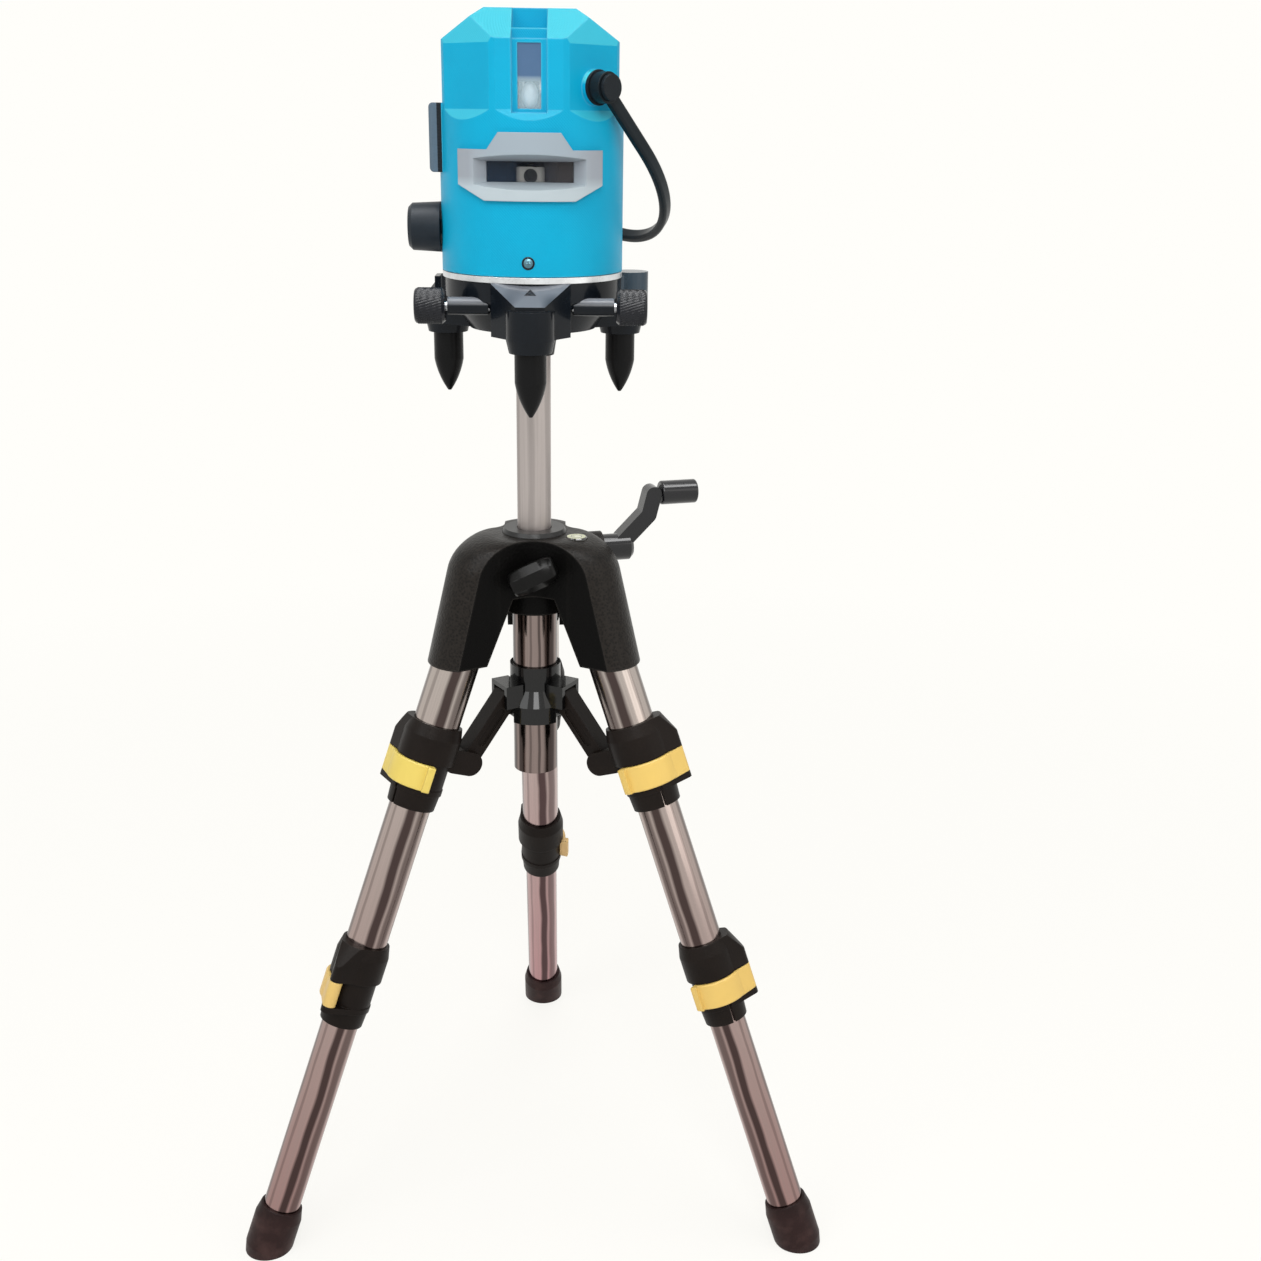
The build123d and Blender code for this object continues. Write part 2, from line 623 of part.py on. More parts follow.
def lock_lever(top, outer):
    """Lever band wrapped round the collar."""
    end = top + LOCK_GRIP + LOCK_CLAMP
    band_end = end - BAND_NECK
    band_top = band_end - BAND_HEIGHT
    inside = groove_radius(outer) + CHANNEL_GAP
    outside = inside + BAND_THICKNESS
    middle = ((inside + outside) / 2, (band_top + band_end) / 2)
    section = Pos(*middle) * RectangleRounded(BAND_THICKNESS, BAND_HEIGHT, LEVER_EDGE)
    band = revolve(Plane.XZ * section, Axis.Z, LEVER_SWEEP)
    lip_size = BAND_THICKNESS + LEVER_LIP
    lip_place = (inside + lip_size / 2, middle[1])
    lip_section = Pos(*lip_place) * RectangleRounded(lip_size, BAND_HEIGHT, LEVER_EDGE)
    lip = revolve(Plane.XZ * lip_section, Axis.Z, LEVER_LIP_SWEEP)
    lip = Rot(0, 0, LEVER_SWEEP - LEVER_LIP_SWEEP) * lip
    wrap = Rot(0, 0, LEVER_HINGE_ANGLE) * (band + lip)
    root_end = Rot(0, 0, LEVER_ROOT_SWEEP) * Pos(middle[0], 0) * Circle(LEVER_ROOT_RADIUS)
    barrel_end = Pos(hinge_radius(outer), 0) * Circle(LEVER_BARREL_RADIUS)
    root = extrude(make_hull(root_end.edges() + barrel_end.edges()), amount=BAND_HEIGHT)
    root = Rot(0, 0, LEVER_HINGE_ANGLE) * Pos(0, 0, band_top) * root
    root -= rod(inside + LEVER_EDGE / 2, band_top, band_end)
    hole = at_lever_pin(outer, rod(LEVER_PIN_RADIUS + RUNNING_FIT, band_top, band_end))
    return wrap + root - hole


def brace_lug(collar):
    """Add the clevis for the spreader arm to the inner side of an upper collar."""
    place = (-LUG_INSET, LUG_ALONG_LEG)
    root = (-UPPER_TUBE_RADIUS - LUG_WALL, LUG_ALONG_LEG)
    ear = side_plate(bar(place, root, LUG_EYE_RADIUS), ARM_GAP_HALF + ARM_EAR)
    pin = Pos(place[0], 0, place[1]) * along_y(rod(ARM_PIN_RADIUS, -ARM_GAP_HALF, ARM_GAP_HALF))
    gap_end = LUG_ALONG_LEG + LUG_EYE_RADIUS + ARM_SLOT_LENGTH
    gap = slab(-FAR, root[0], -ARM_GAP_HALF, ARM_GAP_HALF, 0, gap_end)
    bore = rod(UPPER_TUBE_RADIUS, UPPER_LOCK_TOP, UPPER_TUBE_END)
    clear = rod(MIDDLE_TUBE_RADIUS + MOVING_GAP, UPPER_TUBE_END, UPPER_LOCK_END)
    return collar + ear - gap - bore - clear + pin


def rubber_foot(azimuth):
    """Rubber boot on the lower tube, cut flat where it stands on the floor."""
    wide = LOWER_TUBE_RADIUS + FOOT_BULGE
    tip = FOOT_TOP + FOOT_STAND + FOOT_NOSE
    profile = [
        (0, FOOT_TOP),
        (LOWER_TUBE_RADIUS + FOOT_WALL, FOOT_TOP),
        (wide, FOOT_TOP + FOOT_GRIP / 2),
        (wide, FOOT_TOP + FOOT_STAND - FOOT_WALL),
        (wide - FOOT_BULGE, tip),
        (0, tip),
    ]
    boot = on_leg(azimuth, turned(profile) - rod(LOWER_TUBE_RADIUS, FOOT_TOP, LOWER_TUBE_END))
    ground = slab(-BEYOND_LEGS, BEYOND_LEGS, -BEYOND_LEGS, BEYOND_LEGS, -FAR, 0)
    return boot - ground


# Spreader


def spreader_hub():
    """Hub that slides on the guide tube, with a clevis for each arm."""
    bore = GUIDE_TUBE_RADIUS + MOVING_GAP
    sleeve = bore + HUB_SLEEVE_WALL
    level = HUB_PIVOT_HEIGHT
    body = turned(
        [
            (bore, level + HUB_SLEEVE_RISE),
            (sleeve, level + HUB_SLEEVE_RISE),
            (sleeve, level + HUB_NECK_RISE),
            (HUB_BAND_RADIUS, level - HUB_BAND_DROP),
            (HUB_BAND_RADIUS, level - HUB_BAND_DROP - HUB_BAND_HEIGHT),
            (bore, level - HUB_BAND_DROP - HUB_BAND_HEIGHT),
        ]
    )
    reach = HUB_PIVOT_RADIUS + HUB_LUG_REACH
    lug_half = ARM_GAP_HALF + ARM_EAR
    floor = bore + LUG_WALL / 2
    for azimuth in LEG_AZIMUTHS.values():
        lug = slab(bore, reach, -lug_half, lug_half, level - HUB_BAND_DROP, level + HUB_LUG_RISE)
        slot_top = level + ARM_EYE_RADIUS + MOVING_GAP
        slot_half = ARM_GAP_HALF
        slot = slab(floor, FAR, -slot_half, slot_half, level - FAR, slot_top)
        pin = Pos(HUB_PIVOT_RADIUS, 0, level) * along_y(rod(ARM_PIN_RADIUS, -slot_half, slot_half))
        body = body + toward(azimuth, lug) - toward(azimuth, slot) + toward(azimuth, pin)
    return body - rod(bore, 0, FAR * 2)


def brace_arm():
    """Arm from the hub clevis to the lug on the upper lock, drawn in the X-Z plane."""
    hub = (HUB_PIVOT_RADIUS, HUB_PIVOT_HEIGHT)
    lug = (LUG_RADIUS, LUG_HEIGHT)
    length = math.dist(hub, lug)
    back = ((hub[0] - lug[0]) / length, (hub[1] - lug[1]) / length)
    slot_end = (lug[0] + back[0] * ARM_SLOT_LENGTH, lug[1] + back[1] * ARM_SLOT_LENGTH)
    face = bar(hub, lug, ARM_DEPTH / 2) + dot(hub, ARM_EYE_RADIUS) + dot(lug, LUG_EYE_RADIUS)
    rib_start = (hub[0] - back[0] * 2 * ARM_EYE_RADIUS, hub[1] - back[1] * 2 * ARM_EYE_RADIUS)
    rib_end = (lug[0] + back[0] * 2 * LUG_EYE_RADIUS, lug[1] + back[1] * 2 * LUG_EYE_RADIUS)
    pocket = bar(rib_start, rib_end, ARM_RIB_WIDTH / 2)
    arm = side_plate(face, ARM_WIDTH / 2)
    hub_hole = dot(hub, ARM_PIN_RADIUS + RUNNING_FIT)
    lug_hole = bar(lug, slot_end, ARM_PIN_RADIUS + ARM_SLOT_PLAY)
    arm -= side_plate(hub_hole, FAR) + side_plate(lug_hole, FAR)
    for side in (-1, 1):
        arm -= Pos(0, side * ARM_WIDTH / 2, 0) * side_plate(pocket, ARM_RIB_DEPTH)
    return arm


def guide_tube():
    """Outer centre tube fixed under the shoulder."""
    top = CORE_BOTTOM + GUIDE_TUBE_SOCKET
    return pipe(GUIDE_TUBE_RADIUS, GUIDE_TUBE_RADIUS - GUIDE_TUBE_WALL, PIVOT_HEIGHT - GUIDE_TUBE_DROP, top)


# Shoulder


def hood_reach(drop):
    """How far the crown of a hood stands out, at a depth under the shoulder's top."""
    if drop < HOOD_DOME_DEPTH:
        turn = math.acos(1 - drop / HOOD_DOME_HEIGHT)
        return HOOD_TOP_REACH + HOOD_DOME_REACH * math.sin(turn)
    return HOOD_TOP_REACH + HOOD_DOME_REACH * math.sin(HOOD_DOME_END) + (drop - HOOD_DOME_DEPTH) * HOOD_SLOPE


def hood_section(drop):
    """Level section of a hood: straight flanks and a crowned outer end."""
    crown = hood_reach(drop)
    flank = crown - HOOD_CROWN
    half = HOOD_HALF_WIDTH + END_GAP
    sides = Polyline((flank, -half), (0, -half), (0, half), (flank, half))
    end = ThreePointArc((flank, half), (crown, 0), (flank, -half))
    return Pos(0, 0, SHOULDER_TOP - drop) * make_face([sides, end])


def hood():
    """One hood with a level mouth and its cheeks cut back inside."""
    steps = [(step / HOOD_DOME_STEPS) ** 2 for step in range(HOOD_DOME_STEPS + 1)]
    dome = loft([hood_section(HOOD_DOME_DEPTH * step) for step in steps])
    skirt = loft([hood_section(HOOD_DOME_DEPTH), hood_section(HOOD_SKIRT_DEPTH)], ruled=True)
    flanks = slab(-FAR, FAR, -HOOD_HALF_WIDTH, HOOD_HALF_WIDTH, 0, MOUNT_HEIGHT)
    body = (dome & flanks) + (skirt & flanks)
    knee = (CHEEK_INNER_TOP, PIVOT_HEIGHT - CHEEK_INNER_TOP_DROP)
    foot = (CHEEK_INNER_FOOT, SHOULDER_TOP - HOOD_SKIRT_DEPTH)
    hollow = outline([(-FAR, knee[1]), knee, foot, (foot[0], 0), (-FAR, 0)])
    return body - side_plate(hollow, FAR / 2)


def leg_channel():
    """Room for a leg to swing inside its hood, drawn in the leg frame."""
    bore = rod(CHANNEL_HALF, 0, FAR)
    inner = slab(-FAR, 0, -CHANNEL_HALF, CHANNEL_HALF, 0, FAR)
    crown = along_y(rod(TONGUE_RADIUS + END_GAP, -CHANNEL_HALF, CHANNEL_HALF))
    return bore + inner + crown


def arch_edges(body):
    """Upright inner edges where two hoods meet."""
    found = []
    for edge in body.edges().filter_by(Axis.Z):
        reach = math.hypot(edge.center().X, edge.center().Y)
        if abs(reach - ARCH_MEETING) < END_GAP:
            found.append(edge)
    return found


def shoulder():
    """Moulded shoulder: three hoods on a core, bored for the column, gear, lock and pivots."""
    body = Part() + [toward(azimuth, hood()) for azimuth in LEG_AZIMUTHS.values()]
    body = fillet(arch_edges(body), ARCH_FILLET)
    body += rod(CORE_RADIUS, CORE_BOTTOM, SHOULDER_TOP)
    body += on_crank(along_x(rod(CRANK_BOSS_RADIUS, 0, CRANK_BOSS_REACH)))
    keep_core = rod(CORE_RADIUS + END_GAP, 0, SHOULDER_TOP)
    for azimuth in LEG_AZIMUTHS.values():
        body -= on_leg(azimuth, leg_channel()) - keep_core
        body -= on_leg(azimuth, along_y(rod(PIVOT_PIN_RADIUS, -PIVOT_PIN_HALF, PIVOT_PIN_HALF)))
    body -= rod(COLUMN_BORE, 0, MOUNT_HEIGHT)
    body -= rod(GUIDE_TUBE_RADIUS, 0, CORE_BOTTOM + GUIDE_TUBE_SOCKET)
    body -= rod(BUSH_SLEEVE_RADIUS, SHOULDER_TOP - BUSH_SLEEVE, MOUNT_HEIGHT)
    pocket_radius = PINION_PITCH_RADIUS + PINION_ADDENDUM + GEAR_POCKET_GAP
    pocket_half = PINION_LENGTH / 2 + GEAR_POCKET_GAP
    body -= on_crank(along_x(rod(pocket_radius, -pocket_half, pocket_half)))
    body -= on_crank(along_x(rod(CRANK_SHAFT_RADIUS + RUNNING_FIT, 0, FAR)))
    body -= at_wing(along_y(rod(WING_SCREW_RADIUS + RUNNING_FIT, -FAR, 0)))
    return body - at_shoulder_vial(rod(SHOULDER_VIAL_RADIUS, -SHOULDER_VIAL_DEPTH, FAR))


def at_shoulder_vial(shape):
    """Place a shape drawn from the top of the shoulder at the vial's seat."""
    return toward(LEG_AZIMUTHS[SHOULDER_VIAL_LEG], Pos(SHOULDER_VIAL_SEAT, 0, SHOULDER_TOP) * shape)


def shoulder_vial():
    """Round bubble vial."""
    low = -SHOULDER_VIAL_DEPTH
    rim = SHOULDER_VIAL_RADIUS - SHOULDER_VIAL_PROUD
    points = [
        (0, low),
        (SHOULDER_VIAL_RADIUS, low),
        (SHOULDER_VIAL_RADIUS, 0),
        (rim, SHOULDER_VIAL_PROUD),
        (0, SHOULDER_VIAL_PROUD),
    ]
    return at_shoulder_vial(turned(points))


def leg_pivot_pins():
    """Pivot pin of each leg."""
    pin = along_y(rod(PIVOT_PIN_RADIUS, -PIVOT_PIN_HALF, PIVOT_PIN_HALF))
    return Part() + [on_leg(azimuth, pin) for azimuth in LEG_AZIMUTHS.values()]


def at_wing(shape):
    """Place a shape drawn about the clamping screw, which points to -Y."""
    return Pos(0, 0, WING_HEIGHT_ABOVE_FLOOR) * shape


def column_lock_knob():
    """Wing knob with its clamping screw."""
    screw = along_y(rod(WING_SCREW_RADIUS, -WING_START, -COLUMN_BORE - MOVING_GAP))
    hub = along_y(rod(WING_HUB_RADIUS, -WING_START, -WING_HUB_START))
    half = WING_HEIGHT / 2
    section = outline(
        [(0, -half), (0, half), (-WING_CHEEK, half), (-WING_DEPTH, -WING_RIDGE_DROP), (-WING_CHEEK, -half)]
    )
    plan = RectangleRounded(WING_LENGTH, WING_HEIGHT, WING_ROUND)
    wing = extrude(Plane.XZ * plan, amount=WING_DEPTH)
    wing &= extrude(Plane.YZ * section, amount=WING_LENGTH, both=True)
    wing = Pos(0, -WING_START, 0) * Rot(0, WING_TILT, 0) * wing
    return at_wing(screw + hub + wing)


# Column


def rack_top():
    """Upper end of the rack."""
    return CRANK_HEIGHT + COLUMN_TRAVEL + RACK_MARGIN


def rack_bottom():
    """Lower end of the rack."""
    return CRANK_HEIGHT - RACK_MARGIN


def column_bush():
    """Flanged bush in the shoulder's top."""
    low = SHOULDER_TOP - BUSH_SLEEVE
    points = [
        (COLUMN_BORE, low),
        (BUSH_SLEEVE_RADIUS, low),
        (BUSH_SLEEVE_RADIUS, SHOULDER_TOP),
        (BUSH_FLANGE_RADIUS, SHOULDER_TOP),
        (BUSH_FLANGE_RADIUS - BUSH_FLANGE / 2, BUSH_TOP),
        (COLUMN_BORE, BUSH_TOP),
    ]
    return turned(points)


def centre_column():
    """Column tube with a slot for the rack."""
    tube = pipe(COLUMN_RADIUS, COLUMN_RADIUS - COLUMN_WALL, COLUMN_BOTTOM, COLUMN_TOP)
    half = RACK_WIDTH / 2
    slot = slab(-half, half, RACK_BACK, FAR, rack_bottom(), rack_top())
    return tube - Rot(0, 0, CRANK_AZIMUTH) * slot


def column_rack():
    """Toothed strip set into the back of the column, in mesh with the pinion."""
    root = RACK_PITCH_LINE - RACK_DEDENDUM
    slope = math.tan(math.radians(PRESSURE_ANGLE))
    half_pitch_line = (GEAR_PITCH / 2 - GEAR_BACKLASH) / 2
    half_tip = half_pitch_line - RACK_ADDENDUM * slope
    half_root = half_pitch_line + RACK_DEDENDUM * slope
    first = math.ceil((rack_bottom() - CRANK_HEIGHT) / GEAR_PITCH)
    last = math.floor((rack_top() - CRANK_HEIGHT) / GEAR_PITCH)
    points = [(RACK_BACK, rack_bottom()), (root, rack_bottom())]
    for tooth in range(first + 1, last):
        centre = CRANK_HEIGHT + tooth * GEAR_PITCH
        points += [(root, centre - half_root), (RACK_TIP, centre - half_tip)]
        points += [(RACK_TIP, centre + half_tip), (root, centre + half_root)]
    points += [(root, rack_top()), (RACK_BACK, rack_top())]
    strip = side_plate(outline(points), RACK_WIDTH / 2)
    return Rot(0, 0, CRANK_AZIMUTH + RIGHT_ANGLE) * strip


def column_end_stop():
    """Plug and guide ring on the lower end of the column."""
    bore = COLUMN_RADIUS - COLUMN_WALL
    ring = GUIDE_TUBE_RADIUS - GUIDE_TUBE_WALL - MOVING_GAP
    return rod(ring, COLUMN_BOTTOM - END_STOP_HEIGHT, COLUMN_BOTTOM) + rod(
        bore, COLUMN_BOTTOM, COLUMN_BOTTOM + END_STOP_PLUG
    )


def column_head():
    """Tapered head on top of the column."""
    points = [
        (0, HEAD_BOTTOM),
        (HEAD_BOTTOM_RADIUS, HEAD_BOTTOM),
        (HEAD_TOP_RADIUS, MOUNT_HEIGHT - HEAD_LIP),
        (HEAD_TOP_RADIUS, MOUNT_HEIGHT),
        (0, MOUNT_HEIGHT),
    ]
    body = turned(points) - rod(COLUMN_RADIUS, HEAD_BOTTOM, COLUMN_TOP)
    return body - rod(STUD_SHANK_RADIUS, HEAD_BOTTOM, MOUNT_HEIGHT)


def head_stud():
    """Mounting stud standing on the head."""
    top = MOUNT_HEIGHT + STUD_HEIGHT
    points = [
        (0, HEAD_BOTTOM),
        (STUD_SHANK_RADIUS, HEAD_BOTTOM),
        (STUD_SHANK_RADIUS, MOUNT_HEIGHT),
        (STUD_RADIUS, MOUNT_HEIGHT),
        (STUD_RADIUS, top - STUD_CHAMFER),
        (STUD_RADIUS - STUD_CHAMFER, top),
        (0, top),
    ]
    return turned(points)


# Crank


def involute(angle):
    """Involute function of a pressure angle in radians."""
    return math.tan(angle) - angle


def gear_points():
    """Outline of the pinion, with a tooth space towards -X."""
    pressure = math.radians(PRESSURE_ANGLE)
    base = PINION_PITCH_RADIUS * math.cos(pressure)
    tip = PINION_PITCH_RADIUS + PINION_ADDENDUM
    root = PINION_PITCH_RADIUS - PINION_DEDENDUM
    half_tooth = math.pi / (2 * PINION_TEETH) - GEAR_BACKLASH / (2 * PINION_PITCH_RADIUS)
    flank = []
    for radius in (base, PINION_PITCH_RADIUS, (PINION_PITCH_RADIUS + tip) / 2, tip):
        spread = half_tooth + involute(pressure) - involute(math.acos(min(1.0, base / radius)))
        flank.append((radius, spread))
    flank.insert(0, (root, flank[0][1]))
    points = []
    for tooth in range(PINION_TEETH):
        middle = math.pi * (2 * tooth + 1) / PINION_TEETH + math.pi
        sides = [(r, middle - a) for r, a in flank] + [(r, middle + a) for r, a in reversed(flank)]
        points += [(r * math.cos(a), r * math.sin(a)) for r, a in sides]
    return points


def crank_shaft():
    """Crank shaft with the pinion cut on its inner end."""
    pinion = Pos(0, 0, -PINION_LENGTH / 2) * extrude(outline(gear_points()), amount=PINION_LENGTH)
    pinion = along_x(Rot(0, 0, RIGHT_ANGLE) * pinion)
    shaft = along_x(rod(CRANK_SHAFT_RADIUS, 0, CRANK_HUB_END - CRANK_HUB_DOME))
    return on_crank(pinion + shaft)


def crank_arm():
    """Crank hub, cranked arm and the axle of the grip."""
    hub_profile = [
        (0, CRANK_HUB_START),
        (CRANK_HUB_RADIUS, CRANK_HUB_START),
        (CRANK_HUB_RADIUS, CRANK_HUB_END - CRANK_HUB_DOME),
        (CRANK_HUB_RADIUS - CRANK_HUB_DOME, CRANK_HUB_END),
        (0, CRANK_HUB_END),
    ]
    hub = along_x(turned(hub_profile))
    half = CRANK_ARM_THICKNESS / 2
    foot = (CRANK_HUB_END - CRANK_FOOT_BACK, half)
    knee = (CRANK_HUB_END + CRANK_KNEE_REACH, CRANK_KNEE_RISE)
    end = (CRANK_HUB_END + CRANK_END_REACH, CRANK_RADIUS)
    arm = side_plate(bar(foot, knee, half) + bar(knee, end, half), CRANK_ARM_WIDTH / 2)
    axle = along_x(rod(CRANK_AXLE_RADIUS, end[0], CRANK_AXLE_END))
    body = hub + arm + Pos(0, 0, CRANK_RADIUS) * axle
    return on_crank(body - along_x(rod(CRANK_SHAFT_RADIUS, 0, CRANK_HUB_END - CRANK_HUB_DOME)))


def crank_grip():
    """Grip that spins on the crank's axle."""
    grip = rod(CRANK_GRIP_RADIUS, CRANK_GRIP_START, CRANK_GRIP_END)
    grip = fillet(grip.edges(), CRANK_GRIP_ROUND)
    bore = rod(CRANK_AXLE_RADIUS + RUNNING_FIT, CRANK_GRIP_START, CRANK_AXLE_END + MOVING_GAP)
    return on_crank(Pos(0, 0, CRANK_RADIUS) * along_x(grip - bore))


# Level base


def worm_line(shape):
    """Place a shape drawn along X on the worm's axis."""
    return Pos(0, -WORM_DISTANCE, WORM_HEIGHT) * shape


def base_wedge():
    """Sloped arm from the base to one foot boss, drawn along X."""
    root = WEDGE_ROOT_WIDTH / 2
    tip = WEDGE_TIP_WIDTH / 2
    plan = outline(
        [(0, -root), (WEDGE_ROOT_REACH, -root), (WEDGE_TIP_REACH, -tip), (WEDGE_TIP_REACH, tip),
         (WEDGE_ROOT_REACH, root), (0, root)]
    )
    block = extrude(plan, amount=BASE_HEIGHT)
    slope = outline(
        [(WEDGE_SLOPE_REACH, BASE_HEIGHT), (WEDGE_TIP_REACH, BASE_HEIGHT - WEDGE_SLOPE_DROP),
         (FAR, BASE_HEIGHT - WEDGE_SLOPE_DROP), (FAR, FAR), (WEDGE_SLOPE_REACH, FAR)]
    )
    return block - side_plate(slope, FAR)


def foot_boss():
    """Threaded boss of one levelling foot, on its own axis."""
    points = [
        (0, FOOT_BOSS_BOTTOM),
        (FOOT_BOSS_RADIUS - FOOT_BOSS_TAPER, FOOT_BOSS_BOTTOM),
        (FOOT_BOSS_RADIUS, 0),
        (FOOT_BOSS_RADIUS, FOOT_BOSS_TOP),
        (0, FOOT_BOSS_TOP),
    ]
    return turned(points)


def level_base():
    """Cast base: cup for the worm wheel, three foot bosses and the worm's barrels."""
    body = turned(
        [(0, 0), (BASE_FOOT_RADIUS, 0), (BASE_WAIST_RADIUS, BASE_WAIST_HEIGHT),
         (BASE_BAND_RADIUS, BASE_BAND_BOTTOM), (BASE_BAND_RADIUS, BASE_HEIGHT), (0, BASE_HEIGHT)]
    )
    for azimuth in FOOT_AZIMUTHS.values():
        body += toward(azimuth, base_wedge() + Pos(FOOT_CIRCLE, 0, 0) * foot_boss())
    barrels = along_x(rod(BARREL_RADIUS, BARREL_START, BARREL_END))
    body += worm_line(barrels) + worm_line(mirror(barrels, about=Plane.YZ))
    body += Pos(SIDE_VIAL_X, SIDE_VIAL_Y, 0) * rod(SIDE_VIAL_RADIUS, SIDE_VIAL_BOTTOM, SIDE_VIAL_TOP)
    low_side = SIDE_VIAL_Y - SIDE_LUG_WIDTH / 2
    high_side = SIDE_VIAL_Y + SIDE_LUG_WIDTH / 2
    bridge = slab(0, SIDE_VIAL_X, low_side, high_side, SIDE_VIAL_BOTTOM, BASE_HEIGHT)
    lug = slab(-SIDE_LUG_REACH, 0, low_side, high_side, SIDE_LUG_BOTTOM, SIDE_LUG_TOP)
    body += bridge + lug
    body -= pipe(WHEEL_CAVITY, BASE_BOSS_RADIUS, BASE_FLOOR, BASE_HEIGHT)
    body -= rod(WHEEL_CAVITY, BASE_BOSS_HEIGHT, BASE_HEIGHT)
    body -= rod(STUD_RADIUS + RUNNING_FIT, 0, STUD_HEIGHT + STUD_TIP_GAP)
    pocket_half = WORM_LENGTH / 2 + WORM_POCKET_GAP
    pocket_radius = WORM_RADIUS + WORM_POCKET_GAP
    body -= worm_line(along_x(rod(pocket_radius, -pocket_half, pocket_half)))
    body -= worm_line(along_x(rod(WORM_SHAFT_RADIUS + RUNNING_FIT, -FAR, FAR)))
    ring_seat = pipe(FAR, RING_RADIUS, BASE_HEIGHT, RING_TOP)
    body -= rod(RING_RADIUS, BASE_HEIGHT, SIDE_VIAL_TOP) - ring_seat
    for azimuth in FOOT_AZIMUTHS.values():
        bore = rod(SCREW_FOOT_SHANK + RUNNING_FIT, -FAR, SCREW_FOOT_SHANK_TOP + END_GAP)
        body -= toward(azimuth, Pos(FOOT_CIRCLE, 0, 0) * bore)
    return on_mount(body)


def degree_ring():
    """Bright ring on top of the base."""
    return on_mount(pipe(RING_RADIUS, RING_BORE, BASE_HEIGHT, RING_TOP))


def levelling_foot(azimuth):
    """Pointed levelling foot with its threaded shank."""
    nose_top = SCREW_FOOT_TOP - SCREW_FOOT_BODY
    tip = nose_top - SCREW_FOOT_NOSE
    belly = (SCREW_FOOT_NOSE_BELLY, (tip + nose_top) / 2)
    nose = ThreePointArc((SCREW_FOOT_TIP, tip), belly, (SCREW_FOOT_RADIUS, nose_top))
    sides = Polyline(
        (SCREW_FOOT_RADIUS, nose_top),
        (SCREW_FOOT_RADIUS, SCREW_FOOT_TOP),
        (SCREW_FOOT_SHANK, SCREW_FOOT_TOP),
        (SCREW_FOOT_SHANK, SCREW_FOOT_SHANK_TOP),
        (0, SCREW_FOOT_SHANK_TOP),
        (0, tip),
        (SCREW_FOOT_TIP, tip),
    )
    foot = revolve(Plane.XZ * make_face([nose, sides]), Axis.Z)
    return on_mount(toward(azimuth, Pos(FOOT_CIRCLE, 0, 0) * foot))


def toothed_disc(tip, depth, teeth):
    """Outline of a disc with straight-sided teeth, two corners on each tip and each root."""
    points = []
    corners = 2 * teeth
    for place in range(corners):
        radius = tip - depth * (place % 2)
        for angle in (math.pi * 2 * place / corners, math.pi * (2 * place + 1) / corners):
            points.append((radius * math.cos(angle), radius * math.sin(angle)))
    return outline(points)


def worm_wheel():
    """Worm wheel that carries the housing through a friction face."""
    plan = toothed_disc(WHEEL_TIP_RADIUS, WHEEL_TOOTH_DEPTH, WHEEL_TEETH)
    disc = Pos(0, 0, WHEEL_BOTTOM) * extrude(plan, amount=WHEEL_TOP - WHEEL_BOTTOM)
    wheel = disc - rod(BASE_BOSS_RADIUS + RUNNING_FIT, 0, FAR)
    return on_mount(wheel)


def tangent_screw():
    """Worm on its shaft."""
    half = TANGENT_KNOB_START + TANGENT_KNOB_LENGTH - TANGENT_KNOB_CHAMFER
    shaft = rod(WORM_SHAFT_RADIUS, -half, half) + rod(WORM_RADIUS, -WORM_LENGTH / 2, WORM_LENGTH / 2)
    return on_mount(worm_line(along_x(shaft)))


def tangent_knobs():
    """Fluted knob on each end of the worm shaft."""
    plan = toothed_disc(TANGENT_KNOB_RADIUS, TANGENT_KNOB_FLUTE_DEPTH, TANGENT_KNOB_FLUTES)
    knob = extrude(plan, amount=TANGENT_KNOB_LENGTH)
    slim = TANGENT_KNOB_RADIUS - TANGENT_KNOB_CHAMFER
    end = TANGENT_KNOB_LENGTH
    knob &= turned(
        [(0, 0), (slim, 0), (TANGENT_KNOB_RADIUS, TANGENT_KNOB_CHAMFER),
         (TANGENT_KNOB_RADIUS, end - TANGENT_KNOB_CHAMFER), (slim, end), (0, end)]
    )
    knob -= rod(WORM_SHAFT_RADIUS, 0, end - TANGENT_KNOB_CHAMFER)
    knob = along_x(Pos(0, 0, TANGENT_KNOB_START) * knob)
    return on_mount(worm_line(Part() + [knob, mirror(knob, about=Plane.YZ)]))


# Level housing


def flat_cut(facet_foot, facet_top):
    """Upright flat with a sloping facet above it, drawn towards X."""
    run_out = FLAT_BOTTOM - FLAT_RUN_OUT
    points = [
        (HOUSING_RADIUS, run_out),
        (FLAT_DISTANCE, FLAT_BOTTOM),
        (FLAT_DISTANCE, facet_foot),
        (facet_top, HOUSING_TOP),
        (facet_top, FAR),
        (FAR, FAR),
        (FAR, run_out),
    ]
    return side_plate(outline(points), FAR)


def line_slot_cut():
    """Slot, window opening and roof channel of one vertical line emitter, drawn towards X."""
    half = LINE_SLOT_HALF
    slot = slab(LINE_SLOT_FLOOR, FAR, -half, half, LINE_SLOT_BOTTOM, FAR)
    top = LINE_GLASS_BOTTOM + LINE_GLASS_HEIGHT
    opening = slab(0, FAR, -LINE_GLASS_HALF, LINE_GLASS_HALF, LINE_GLASS_BOTTOM, top)
    wall = LINE_CHANNEL_WALL
    step = slab(CAVITY_TOP_RADIUS + wall, FAR, -half, half, top + wall, FAR)
    channel = slab(FACET_TOP_HALF - LINE_CHANNEL_RUN, FAR, -half, half, CAVITY_TOP + wall, FAR)
    return slot + step + (opening - rod(CAVITY_TOP_RADIUS, 0, FAR)) + channel


